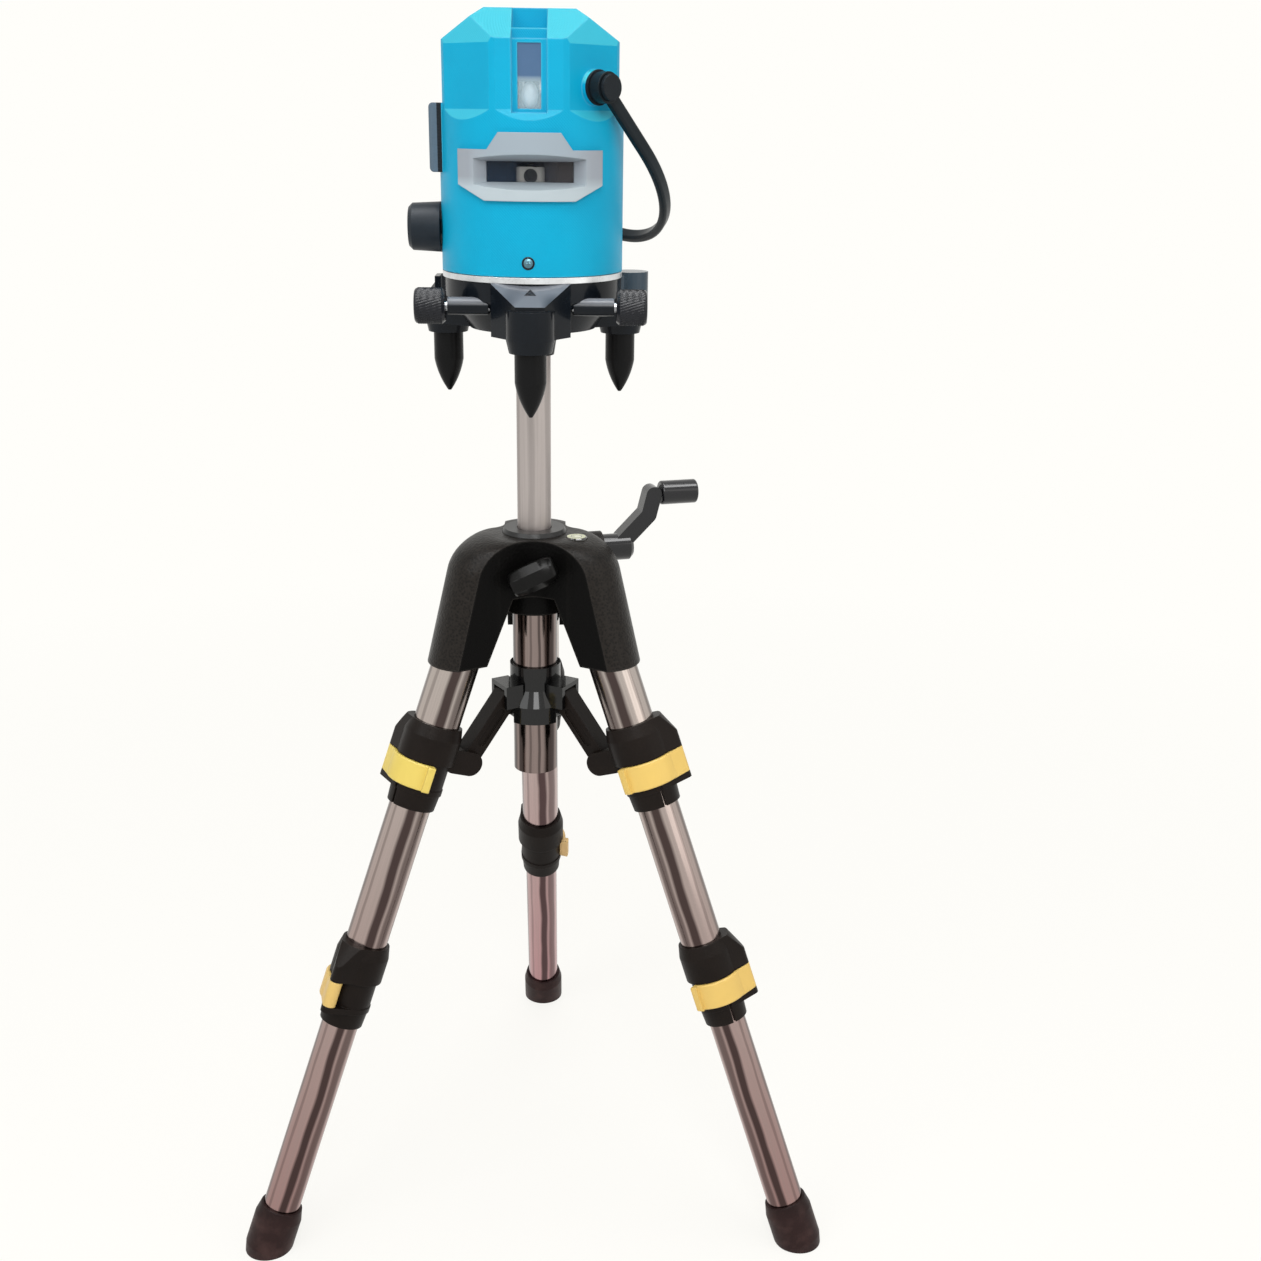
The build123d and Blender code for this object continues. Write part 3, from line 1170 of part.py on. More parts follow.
def on_bail(shape):
    """Place a shape drawn along the bail's pivot axis, X along the axis."""
    return Pos(0, 0, BAIL_HEIGHT) * Rot(0, 0, BAIL_AZIMUTH) * shape


def bail_eye_start():
    """Inner face of the bail's eye on its pivot axis."""
    return BAIL_HALF_WIDTH - BAIL_EYE_THICKNESS / 2


def bail_stub():
    """Flange, pin and cap that carry one eye of the bail, drawn along X."""
    eye = bail_eye_start()
    flange = rod(BAIL_FLANGE_RADIUS, FLAT_DISTANCE, eye - MOVING_GAP)
    cap_start = eye + BAIL_EYE_THICKNESS + MOVING_GAP
    pin = rod(BAIL_PIN_RADIUS, FLAT_DISTANCE, cap_start)
    cap = rod(BAIL_CAP_RADIUS, cap_start, cap_start + BAIL_CAP_THICKNESS)
    return along_x(flange + pin + cap)


def bezel_outline():
    """Front outline of the window bezel, in x and height."""
    right = [
        (BEZEL_KEEL_HALF, BEZEL_BOTTOM),
        (BEZEL_HALF, BEZEL_SIDE_BOTTOM),
        (BEZEL_HALF, BEZEL_SIDE_TOP),
        (BEZEL_TAB_FOOT_HALF, BEZEL_SIDE_TOP),
        (BEZEL_TAB_HALF, BEZEL_TOP),
    ]
    left = [(-x, z) for x, z in reversed(right)]
    return outline(right + left)


def front_block(x_half, bottom, top, front, back):
    """Block behind the front of the housing, between two depths."""
    return slab(-x_half, x_half, -front, -back, bottom, top)


def window_tunnel(front, back):
    """Outer block of the tunnel that holds the front glass."""
    bottom = WINDOW_BOTTOM - TUNNEL_SILL
    return front_block(WINDOW_HALF + TUNNEL_WALL, bottom, WINDOW_TOP + TUNNEL_SILL, front, back)


def battery_cover():
    """Raised cover on the left of the housing."""
    half = COVER_WIDTH / 2
    block = slab(-COVER_REACH, 0, -half, half, COVER_BOTTOM, COVER_TOP)
    return fillet(block.faces().sort_by(Axis.X)[0].edges(), COVER_ROUND)


def housing():
    """Moulded housing: faceted shell with window openings, gimbal hangers and bail pivots."""
    body = rod(HOUSING_RADIUS, HOUSING_BOTTOM, HOUSING_TOP)
    for side in range(HOUSING_SIDES):
        corner = side * RIGHT_ANGLE + RIGHT_ANGLE / 2
        body -= toward(side * RIGHT_ANGLE, flat_cut(FACET_FOOT_HEIGHT, FACET_TOP_HALF))
        body -= toward(corner, flat_cut(CORNER_FACET_HEIGHT, CORNER_TOP_HALF))
    body += battery_cover()
    body += on_bail(bail_stub()) + on_bail(mirror(bail_stub(), about=Plane.YZ))
    body += rod(SPIGOT_RADIUS, WHEEL_TOP + MOVING_GAP, HOUSING_BOTTOM)
    floor = HOUSING_BOTTOM + HOUSING_FLOOR
    body -= rod(CAVITY_RADIUS, floor, CAVITY_STEP) + rod(CAVITY_TOP_RADIUS, CAVITY_STEP, CAVITY_TOP)
    for side in range(HOUSING_SIDES):
        body -= toward(side * RIGHT_ANGLE, line_slot_cut())
    body -= window_tunnel(FAR, 0) & pipe(FAR, CAVITY_TOP_RADIUS / 2, floor, CAVITY_STEP)
    shaft = along_x(rod(POWER_SHAFT_RADIUS + RUNNING_FIT, -FAR, -CAVITY_TOP_RADIUS))
    body -= Pos(0, 0, POWER_KNOB_HEIGHT) * shaft
    inner = GIMBAL_OUTER + HANGER_GAP
    half = HANGER_WIDTH / 2
    hanger = slab(inner, inner + HANGER_THICKNESS, -half, half, GIMBAL_HEIGHT - HANGER_DROP, CAVITY_TOP)
    body += hanger + mirror(hanger, about=Plane.YZ)
    pin_hole = along_x(rod(GIMBAL_PIN_RADIUS + RUNNING_FIT, -CAVITY_TOP_RADIUS / 2, CAVITY_TOP_RADIUS / 2))
    return on_mount(body - Pos(0, 0, GIMBAL_HEIGHT) * pin_hole)


def window_bezel():
    """Grey bezel wrapped on the housing's front, with a splayed recess and a tunnel for the glass."""
    prism = extrude(Plane.XZ * bezel_outline(), amount=FAR)
    skin = pipe(HOUSING_RADIUS + BEZEL_PROUD, HOUSING_RADIUS, 0, FAR)
    tunnel = window_tunnel(FAR, TUNNEL_BACK) & rod(HOUSING_RADIUS + BEZEL_PROUD, 0, FAR)
    frame = (prism & skin) + tunnel
    outer_mid = (RECESS_BOTTOM + RECESS_TOP) / 2
    inner_mid = (WINDOW_BOTTOM + WINDOW_TOP) / 2
    mouth = Plane.XZ.offset(HOUSING_RADIUS + BEZEL_PROUD) * Pos(0, outer_mid)
    throat = Plane.XZ.offset(WINDOW_GLASS_FRONT) * Pos(0, inner_mid)
    splay = loft([
        mouth * Rectangle(2 * RECESS_HALF, RECESS_TOP - RECESS_BOTTOM),
        throat * Rectangle(2 * WINDOW_HALF, WINDOW_TOP - WINDOW_BOTTOM),
    ])
    frame -= splay
    frame -= front_block(WINDOW_HALF, WINDOW_BOTTOM, WINDOW_TOP, WINDOW_GLASS_FRONT, 0)
    return on_mount(frame - front_glass())


def front_glass():
    """Pane of the front window, in its rebate."""
    edge = WINDOW_GLASS_REBATE
    back = WINDOW_GLASS_FRONT - WINDOW_GLASS_THICKNESS
    return front_block(WINDOW_HALF + edge, WINDOW_BOTTOM - edge, WINDOW_TOP + edge, WINDOW_GLASS_FRONT, back)


def line_glass():
    """Pane of one vertical line window, drawn towards X."""
    front = LINE_SLOT_FLOOR - LINE_GLASS_SET
    back = front - LINE_GLASS_THICKNESS
    top = LINE_GLASS_BOTTOM + LINE_GLASS_HEIGHT
    return slab(back, front, -LINE_GLASS_HALF, LINE_GLASS_HALF, LINE_GLASS_BOTTOM, top)


def window_glass():
    """All panes of the level."""
    panes = [toward(side * RIGHT_ANGLE, line_glass()) for side in range(HOUSING_SIDES)]
    return on_mount(Part() + panes + [front_glass()])


def power_knob():
    """Power and lock knob on the left side."""
    start = HOUSING_RADIUS + MOVING_GAP
    end = start + POWER_KNOB_LENGTH
    points = [
        (0, start - POWER_SHAFT_LENGTH),
        (POWER_SHAFT_RADIUS, start - POWER_SHAFT_LENGTH),
        (POWER_SHAFT_RADIUS, start),
        (POWER_KNOB_RADIUS, start),
        (POWER_KNOB_TIP_RADIUS, end - POWER_KNOB_ROUND),
        (POWER_KNOB_TIP_RADIUS - POWER_KNOB_ROUND, end),
        (0, end),
    ]
    return on_mount(Pos(0, 0, POWER_KNOB_HEIGHT) * Rot(0, -RIGHT_ANGLE, 0) * turned(points))


def carry_handle():
    """Carrying bail: a bent bar with an eye at each end."""
    half = BAIL_HALF_WIDTH
    path = Line((half, 0), (half, BAIL_STRAIGHT))
    path += EllipticalCenterArc((0, BAIL_STRAIGHT), half, BAIL_BOW, arc_size=STRAIGHT_ANGLE)
    path += Line((-half, BAIL_STRAIGHT), (-half, 0))
    section = Plane(origin=(half, 0, 0), x_dir=(1, 0, 0), z_dir=(0, 1, 0)) * RectangleRounded(
        BAIL_THICKNESS, BAIL_WIDTH, BAIL_EDGE
    )
    bail = sweep(section, path=path)
    eye = along_x(rod(BAIL_EYE_RADIUS, bail_eye_start(), bail_eye_start() + BAIL_EYE_THICKNESS))
    bail += eye + mirror(eye, about=Plane.YZ)
    bail -= along_x(rod(BAIL_PIN_RADIUS + RUNNING_FIT, -FAR, FAR))
    return on_mount(on_bail(Rot(-BAIL_LEAN, 0, 0) * bail))


def gimbal_ring():
    """Ring that lets the pendulum tilt about two axes."""
    half = GIMBAL_RING / 2
    ring = pipe(GIMBAL_OUTER, GIMBAL_INNER, -half, half)
    pins = along_x(rod(GIMBAL_PIN_RADIUS, -GIMBAL_PIN_REACH, GIMBAL_PIN_REACH))
    ring += pins - rod(GIMBAL_INNER, -half, half)
    ring -= along_y(rod(GIMBAL_PIN_RADIUS + RUNNING_FIT, -FAR, FAR))
    return on_mount(Pos(0, 0, GIMBAL_HEIGHT) * ring)


def pendulum():
    """Laser carrier: post with its pin, line modules, front emitter and weight."""
    post = rod(POST_RADIUS, WEIGHT_BOTTOM, GIMBAL_HEIGHT + POST_TOP_RISE)
    pin = Pos(0, 0, GIMBAL_HEIGHT) * along_y(rod(GIMBAL_PIN_RADIUS, -GIMBAL_OUTER, GIMBAL_OUTER))
    cross = along_x(rod(CROSS_RADIUS, -CROSS_REACH, CROSS_REACH))
    cross += along_y(rod(CROSS_RADIUS, -CROSS_REACH, CROSS_REACH))
    carrier = Pos(0, 0, EMITTER_HEIGHT) * Box(CARRIER_WIDTH, CARRIER_WIDTH, CARRIER_HEIGHT)
    emitter = rod(EMITTER_RADIUS, 0, EMITTER_REACH)
    emitter -= rod(EMITTER_BORE, EMITTER_REACH - EMITTER_BORE_DEPTH, EMITTER_REACH)
    emitter = Pos(0, 0, EMITTER_HEIGHT) * Rot(RIGHT_ANGLE, 0, 0) * emitter
    weight = rod(WEIGHT_RADIUS, WEIGHT_BOTTOM, WEIGHT_BOTTOM + WEIGHT_HEIGHT)
    return on_mount(post + pin + Pos(0, 0, CROSS_HEIGHT) * cross + carrier + emitter + weight)


def leg_parts(name, azimuth):
    """Every piece of one leg, with its spreader arm."""
    upper_collar = lock_collar(UPPER_LOCK_TOP, UPPER_TUBE_RADIUS, MIDDLE_TUBE_RADIUS)
    upper_lever = lock_lever(UPPER_LOCK_TOP, UPPER_TUBE_RADIUS)
    if name == "left":
        upper_collar = mirror(Rot(0, 0, LEVER_SIDE_TURN) * upper_collar, about=Plane.XZ)
        upper_lever = mirror(Rot(0, 0, LEVER_SIDE_TURN) * upper_lever, about=Plane.XZ)
    lower_collar = lock_collar(LOWER_LOCK_TOP, MIDDLE_TUBE_RADIUS, LOWER_TUBE_RADIUS)
    pieces = {
        "leg_joint": leg_joint(),
        "upper_tube": leg_tube(UPPER_TUBE_RADIUS, UPPER_TUBE_TOP, UPPER_TUBE_END),
        "upper_lock": brace_lug(upper_collar),
        "upper_lever": upper_lever,
        "middle_tube": leg_tube(MIDDLE_TUBE_RADIUS, MIDDLE_TUBE_TOP, MIDDLE_TUBE_END),
        "lower_lock": lower_collar,
        "lower_lever": lock_lever(LOWER_LOCK_TOP, MIDDLE_TUBE_RADIUS),
        "lower_tube": leg_tube(LOWER_TUBE_RADIUS, LOWER_TUBE_TOP, LOWER_TUBE_END),
    }
    placed = {f"{piece}_{name}": on_leg(azimuth, shape) for piece, shape in pieces.items()}
    placed[f"rubber_foot_{name}"] = rubber_foot(azimuth)
    placed[f"brace_arm_{name}"] = toward(azimuth, brace_arm())
    return placed


def all_parts():
    """Every node of the assembly by name."""
    parts = {
        "shoulder": shoulder(),
        "column_bush": column_bush(),
        "leg_pivot_pins": leg_pivot_pins(),
        "guide_tube": guide_tube(),
        "shoulder_vial": shoulder_vial(),
        "centre_column": centre_column(),
        "column_rack": column_rack(),
        "column_end_stop": column_end_stop(),
        "column_head": column_head(),
        "head_stud": head_stud(),
        "crank_shaft": crank_shaft(),
        "crank_arm": crank_arm(),
        "crank_grip": crank_grip(),
        "column_lock_knob": column_lock_knob(),
        "spreader_hub": spreader_hub(),
        "level_base": level_base(),
        "degree_ring": degree_ring(),
        "worm_wheel": worm_wheel(),
        "tangent_screw": tangent_screw(),
        "tangent_knobs": tangent_knobs(),
        "housing": housing(),
        "window_bezel": window_bezel(),
        "window_glass": window_glass(),
        "power_knob": power_knob(),
        "carry_handle": carry_handle(),
        "gimbal_ring": gimbal_ring(),
        "pendulum": pendulum(),
    }
    for name, azimuth in FOOT_AZIMUTHS.items():
        parts[f"levelling_foot_{name}"] = levelling_foot(azimuth)
    for name, azimuth in LEG_AZIMUTHS.items():
        parts.update(leg_parts(name, azimuth))
    return parts


os.makedirs("parts", exist_ok=True)
for node, shape in all_parts().items():
    export_step(shape, f"parts/{node}.step")
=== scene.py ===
import json
import math

import bmesh
import bpy
from mathutils import Matrix, Vector


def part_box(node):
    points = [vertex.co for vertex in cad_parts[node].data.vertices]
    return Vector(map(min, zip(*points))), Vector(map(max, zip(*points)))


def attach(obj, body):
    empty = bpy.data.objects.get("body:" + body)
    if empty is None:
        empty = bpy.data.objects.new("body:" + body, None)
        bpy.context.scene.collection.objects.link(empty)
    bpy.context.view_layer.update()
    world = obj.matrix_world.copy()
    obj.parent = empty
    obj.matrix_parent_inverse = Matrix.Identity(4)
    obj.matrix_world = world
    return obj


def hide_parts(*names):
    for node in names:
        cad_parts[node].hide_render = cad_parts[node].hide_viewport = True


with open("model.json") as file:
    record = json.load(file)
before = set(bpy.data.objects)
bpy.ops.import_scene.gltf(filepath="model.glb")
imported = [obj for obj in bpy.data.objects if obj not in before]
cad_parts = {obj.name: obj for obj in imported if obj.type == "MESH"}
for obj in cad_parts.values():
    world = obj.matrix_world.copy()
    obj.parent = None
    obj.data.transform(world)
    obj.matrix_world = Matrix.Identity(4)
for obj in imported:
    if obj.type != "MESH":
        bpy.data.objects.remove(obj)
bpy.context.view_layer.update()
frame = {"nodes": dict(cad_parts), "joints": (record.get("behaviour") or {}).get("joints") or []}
NODES = frame["nodes"]
JOINTS = {joint["name"]: joint for joint in frame["joints"]}

MM = 0.001
TURN = 2 * math.pi
LEGS = ("left", "right", "back")


# Sizes of the object that the materials and the pieces made here go by

# Heights on the level are counted from the column's mounting face
WORM_CENTRE = JOINTS["fine_turn"]["pos_m"]
WORM_HEIGHT = 14.5 * MM
MOUNT = WORM_CENTRE[2] - WORM_HEIGHT

# Radii between which the middle of the shoulder gives way to its hoods
HOOD_ROOT, HOOD_START = 30 * MM, 36 * MM

# Heights between which tubes, levers and feet change their tone: a painted warm floor reflection low on
# the tubes, painted warm floor light low on the levers, and painted shade at the feet's upper rim
TUBE_LOW, TUBE_HIGH = 20 * MM, 340 * MM
LEVER_LOW, LEVER_HIGH = 140 * MM, 300 * MM
RUBBER_MIDDLE, RUBBER_RIM = 20 * MM, 33 * MM

# Base: its sloped arms, the barrels of the tangent screw and the side block
BASE_SLOPE_START = 44.5 * MM
BARREL_RADIUS, BARREL_START = 4.8 * MM, 22 * MM
BLOCK_START, BLOCK_FOOT = 47.5 * MM, MOUNT + 14 * MM

# Housing: its faceted crown, the radius and top of its two hollows, and the side cover
HOUSING_RADIUS = 48 * MM
HOUSING_SKIN = 48.2 * MM
CROWN_FOOT, CROWN_START = MOUNT + 118 * MM, MOUNT + 122 * MM
HOLLOWS = ((39.8 * MM, MOUNT + 138.2 * MM), (36.3 * MM, MOUNT + 147.3 * MM))
COVER_START, COVER_FOOT = -48.15 * MM, MOUNT + 70 * MM

# Bezel and panes: where their tones start and end; the bezel's tones are painted light and shade, and
# the line panes' pale lower part is a painted reflection
BEZEL_LIP, BEZEL_MIDDLE = MOUNT + 72 * MM, MOUNT + 90 * MM
BEZEL_LEFT_START, BEZEL_LEFT_END = -20 * MM, -38 * MM
THROAT_MOUTH, THROAT_END = -47.0 * MM, -40.0 * MM
THROAT_SILL, THROAT_WALL = MOUNT + 74 * MM, MOUNT + 79 * MM
LINE_PANE_FOOT = MOUNT + 100 * MM
PANE_COAT_FOOT, PANE_COAT_START = MOUNT + 124 * MM, MOUNT + 127 * MM
PANE_NAVY_END, PANE_BROWN_START = -4 * MM, 16 * MM
PANE_CLEAR_HALF, PANE_DARK_START = 5 * MM, 10 * MM

# Places of the pieces made here
LENS_REACH, LENS_HEIGHT = 34.4 * MM, MOUNT + 118 * MM
EMITTER_HEIGHT = MOUNT + 79.2 * MM
SCREW_CENTRE = (-1.0 * MM, -47.9 * MM, MOUNT + 37.3 * MM)
WING_BACK = -32.0 * MM


# Node graphs


class Graph:
    """Shader nodes of a material or a world, with short calls for what repeats."""

    def __init__(self, owner, output):
        owner.use_nodes = True
        self.tree = owner.node_tree
        self.tree.nodes.clear()
        self.output = self.add(output)

    def add(self, kind, **settings):
        node = self.tree.nodes.new("ShaderNode" + kind)
        for key, value in settings.items():
            setattr(node, key, value)
        return node

    def wire(self, source, target):
        self.tree.links.new(source, target)

    def feed(self, socket, value):
        """Link a socket to another one, or set it to a plain value."""
        if isinstance(value, bpy.types.NodeSocket):
            self.wire(value, socket)
        else:
            socket.default_value = value

    def math(self, operation, first, second=0.0):
        node = self.add("Math", operation=operation)
        self.feed(node.inputs[0], first)
        self.feed(node.inputs[1], second)
        return node.outputs[0]

    def times(self, first, second):
        return self.math("MULTIPLY", first, second)

    def plus(self, first, second):
        return self.math("ADD", first, second)

    def minus(self, first, second):
        return self.math("SUBTRACT", first, second)

    def larger(self, first, second):
        return self.math("MAXIMUM", first, second)

    def absolute(self, value):
        return self.math("ABSOLUTE", value)

    def above(self, value, limit):
        """One over a limit, nought under it."""
        return self.math("GREATER_THAN", value, limit)

    def below(self, value, limit):
        """One under a limit, nought over it."""
        return self.math("LESS_THAN", value, limit)

    def band(self, value, low, high):
        """One between two limits, nought outside them."""
        return self.times(self.above(value, low), self.below(value, high))

    def length(self, first, second):
        """Length of a flat vector."""
        return self.math("SQRT", self.plus(self.times(first, first), self.times(second, second)))

    def wrap(self, value, half):
        """Fold a value into the range from -half to half."""
        folded = self.math("WRAP", value, half)
        folded.node.inputs[2].default_value = -half
        return folded

    def remap(self, value, low, high, to_low=0.0, to_high=1.0):
        node = self.add("MapRange")
        self.feed(node.inputs["Value"], value)
        limits = {"From Min": low, "From Max": high, "To Min": to_low, "To Max": to_high}
        for key, number in limits.items():
            node.inputs[key].default_value = number
        return node.outputs["Result"]

    def spread(self, noise, to_low=0.0, to_high=1.0):
        """Spread the range that most of a noise keeps to over two values."""
        return self.remap(noise, 0.3, 0.7, to_low, to_high)

    def combine(self, x, y, z):
        node = self.add("CombineXYZ")
        for socket, value in zip(node.inputs, (x, y, z)):
            self.feed(socket, value)
        return node.outputs[0]

    def split(self, vector):
        node = self.add("SeparateXYZ")
        self.feed(node.inputs[0], vector)
        return node.outputs

    def vector_math(self, operation, first, second):
        node = self.add("VectorMath", operation=operation)
        self.feed(node.inputs[0], first)
        self.feed(node.inputs[1], second)
        return node

    def dot(self, first, second):
        return self.vector_math("DOT_PRODUCT", first, second).outputs["Value"]

    def shift(self, vector, origin):
        return self.vector_math("SUBTRACT", vector, origin).outputs["Vector"]

    def blend_shaders(self, factor, first, second):
        """Show a mix of two shaders."""
        node = self.add("MixShader")
        for socket, source in zip(node.inputs, (factor, first, second)):
            self.wire(source, socket)
        self.wire(node.outputs[0], self.output.inputs["Surface"])

    def glow(self, kind, colour, strength=1.0):
        """Plain light of one colour."""
        node = self.add(kind)
        node.inputs["Color"].default_value = (*colour, 1.0)
        node.inputs["Strength"].default_value = strength
        return node.outputs[0]

    def white_rays(self):
        """One for the rays that see the pale background itself."""
        path = self.add("LightPath")
        seen = self.larger(path.outputs["Is Camera Ray"], path.outputs["Is Glossy Ray"])
        return self.larger(seen, path.outputs["Is Transmission Ray"])


class Surface(Graph):
    """Shader nodes of one material, round its surface shader."""

    def __init__(self, name):
        self.material = bpy.data.materials.new(name)
        super().__init__(self.material, "OutputMaterial")
        self.shader = self.add("BsdfPrincipled")
        self.wire(self.shader.outputs[0], self.output.inputs["Surface"])
        self.place = self.add("TexCoord").outputs["Object"]

    def set(self, **values):
        """Set or link sockets of the surface shader by name, with _ for a space."""
        for key, value in values.items():
            self.feed(self.shader.inputs[key.replace("_", " ")], value)

    def normal(self):
        """Sideways, forward and upward shares of the surface normal."""
        return self.split(self.add("TexCoord").outputs["Normal"])

    def noise(self, scale, detail=3.0, place=None):
        node = self.add("TexNoise")
        self.wire(self.place if place is None else place, node.inputs["Vector"])
        node.inputs["Scale"].default_value = scale
        node.inputs["Detail"].default_value = detail
        node.inputs["Roughness"].default_value = 0.55
        return node.outputs[0]

    def cells(self, size):
        """Distance from the middle of rounded cells of a size."""
        node = self.add("TexVoronoi", feature="SMOOTH_F1")
        self.wire(self.place, node.inputs["Vector"])
        node.inputs["Scale"].default_value = 1 / size
        node.inputs["Smoothness"].default_value = 0.6
        return node.outputs["Distance"]

    def pebbles(self, size):
        """Cells of a moulded pebble grain, the cloud over it, and the height of both."""
        cells = self.cells(size)
        cloud = self.noise(60.0, 4.0)
        return cells, cloud, self.plus(self.times(cells, 0.8), self.times(cloud, 0.3))

    def mix(self, factor, first, second):
        """Mix two colours, each a tuple or a socket, on the colour sockets of a Mix node."""
        node = self.add("Mix", data_type="RGBA")
        self.feed(node.inputs["Factor"], factor)
        for socket, value in zip(node.inputs[6:8], (first, second)):
            self.feed(socket, (*value, 1.0) if isinstance(value, tuple) else value)
        return node.outputs[2]

    def bevel(self, radius):
        """Normal of edges rounded by a radius in metres."""
        node = self.add("Bevel", samples=4)
        node.inputs["Radius"].default_value = radius
        return node.outputs[0]

    def bump(self, height, depth, strength, edge=0.0):
        """Bump from a height, on edges rounded by a radius in metres."""
        node = self.add("Bump")
        node.inputs["Strength"].default_value = strength
        node.inputs["Distance"].default_value = depth
        self.feed(node.inputs["Height"], height)
        if edge:
            self.wire(self.bevel(edge), node.inputs["Normal"])
        return node.outputs[0]

    # Drives worn edges and painted edge highlights alike
    def edge_wear_and_highlight(self, radius, strength):
        """A strength along the edges of a shape, nought on its faces."""
        facing = self.dot(self.bevel(radius), self.add("NewGeometry").outputs["Normal"])
        return self.times(self.remap(facing, 0.98, 0.8), strength)


# Materials

SOFT_EDGE = 0.6 * MM
METAL_EDGE = 0.25 * MM
METAL_GRAIN = 0.02 * MM
PLASTIC_GRAIN = 0.03 * MM
FLOW_GRAIN = 0.12 * MM
FLOW_SCALE = 35.0
LEATHER_PITCH = 1.4 * MM
WEAVE_PITCH = 1.5 * MM

# Ranges of a noise that set the tone and the gloss of black plastics, and both of the blue paint
CLOUD_TONE = (0.35, 0.7)
CLOUD_GLOSS = (0.3, 0.75)
PAINT_CLOUD = (0.3, 0.72)


def shade(colour, factor, lift=0.0):
    """A colour times a factor, with every channel lifted."""
    return tuple(channel * factor + lift for channel in colour)


def black_plastic(
    name, colour, rough, grain, grain_size, sheen, wear_and_highlight=0.25, edge=SOFT_EDGE, lift=0.01, coat=0.0
):
    """Moulded black plastic with a pebble grain, softer and paler along its edges, partly as worn edges
    and partly as a painted highlight.
    """
    g = Surface(name)
    _, cloud, height = g.pebbles(grain_size)
    body = g.mix(g.remap(cloud, *CLOUD_TONE), colour, shade(colour, 1.35))
    # Paler edges: partly worn, partly a painted highlight that the lift brightens
    g.set(Base_Color=g.mix(g.edge_wear_and_highlight(edge * 1.6, wear_and_highlight), body, shade(colour, 2.2, lift)))
    g.set(Specular_IOR_Level=sheen, Coat_Weight=coat, Coat_Roughness=0.24)
    g.set(Roughness=g.remap(cloud, *CLOUD_GLOSS, rough - 0.06, rough + 0.08))
    g.set(Normal=g.bump(height, grain, strength=0.5, edge=edge))
    return g.material


def hood_plastic(name):
    """Leather-grained black moulding: paler on outer faces as painted light, with a painted highlight
    along its rims, and darker between the legs as painted shade.
    """
    g = Surface(name)
    x, y, _ = g.split(g.place)
    across, forth, up = g.normal()
    radius = g.length(x, y)
    outward = g.math("DIVIDE", g.plus(g.times(across, x), g.times(forth, y)), radius)
    outward = g.times(outward, g.remap(radius, HOOD_ROOT, HOOD_START))
    # Painted light on faces that turn outward and upward, painted shade on those that turn in
    outer = g.remap(g.larger(outward, up), 0.45, 0.85)
    cells, cloud, height = g.pebbles(LEATHER_PITCH)
    leather = g.mix(g.remap(cells, 0.15, 0.6), (0.0046, 0.0039, 0.0033), (0.0148, 0.0121, 0.0101))
    inner = g.mix(cloud, (0.0028, 0.0027, 0.0026), (0.0036, 0.0034, 0.0032))
    body = g.mix(outer, inner, leather)
    # Painted highlight along the rims
    g.set(Base_Color=g.mix(g.edge_wear_and_highlight(1.8 * MM, 0.6), body, (0.052, 0.047, 0.043)))
    g.set(Specular_IOR_Level=g.remap(outer, 0.0, 1.0, 0.05, 0.13))
    g.set(Roughness=g.remap(cloud, *CLOUD_GLOSS, 0.3, 0.44))
    g.set(Normal=g.bump(height, 0.4 * MM, strength=0.5, edge=1.0 * MM))
    return g.material


def gloss_black(name, colour, rough, sheen, coat=0.0):
    """Smooth black plastic with faint flow marks and fine scratches, polished where it has a coat."""
    g = Surface(name)
    flow = g.noise(FLOW_SCALE, 4.0)
    fine = g.noise(900.0, 2.0)
    g.set(Base_Color=g.mix(g.remap(flow, *CLOUD_TONE), colour, shade(colour, 1.5)))
    g.set(Roughness=g.remap(flow, *CLOUD_GLOSS, rough, rough + 0.1), Specular_IOR_Level=sheen)
    g.set(Coat_Weight=coat, Coat_Roughness=0.06)
    height = g.plus(flow, g.times(fine, 0.15))
    g.set(Normal=g.bump(height, FLOW_GRAIN, strength=0.35, edge=SOFT_EDGE))
    return g.material


def base_plastic(name):
    """Blue-black base casting with a painted reflection on its slopes, a painted highlight on its
    barrels, and a paler side block.
    """
    g = Surface(name)
    x, y, z = g.split(g.place)
    flow = g.noise(FLOW_SCALE, 4.0)
    slope_reflection_noise = g.noise(55.0, 0.0)
    body = g.mix(g.remap(flow, *CLOUD_TONE), (0.0042, 0.006, 0.0088), (0.0062, 0.0088, 0.0125))
    upward = g.normal()[2]
    # Painted reflection in cloudy patches on the sloped arms
    slope = g.times(g.band(upward, 0.75, 0.95), g.above(g.length(x, y), BASE_SLOPE_START))
    painted_slope_reflection = g.mix(g.remap(slope_reflection_noise, 0.42, 0.62), (0.06, 0.069, 0.085), (0.16, 0.175, 0.2))
    body = g.mix(slope, body, painted_slope_reflection)
    along, forth, over = g.split(g.shift(g.place, WORM_CENTRE))
    barrel = g.below(g.length(forth, over), BARREL_RADIUS)
    barrel = g.times(barrel, g.above(g.absolute(along), BARREL_START))
    # Painted highlight on the upper front of the barrels
    barrel_painted_highlight = g.times(barrel, g.remap(upward, 0.1, 0.7, 0.0, 0.9))
    body = g.mix(barrel_painted_highlight, body, (0.2, 0.215, 0.24))
    block = g.times(g.above(x, BLOCK_START), g.above(z, BLOCK_FOOT))
    body = g.mix(block, body, (0.046, 0.067, 0.087))
    g.set(Base_Color=body, Specular_IOR_Level=0.06, Coat_Weight=0.22, Coat_Roughness=0.08)
    g.set(Roughness=g.remap(flow, *CLOUD_GLOSS, 0.18, 0.28))
    g.set(Normal=g.bump(flow, FLOW_GRAIN, strength=0.35, edge=SOFT_EDGE))
    return g.material


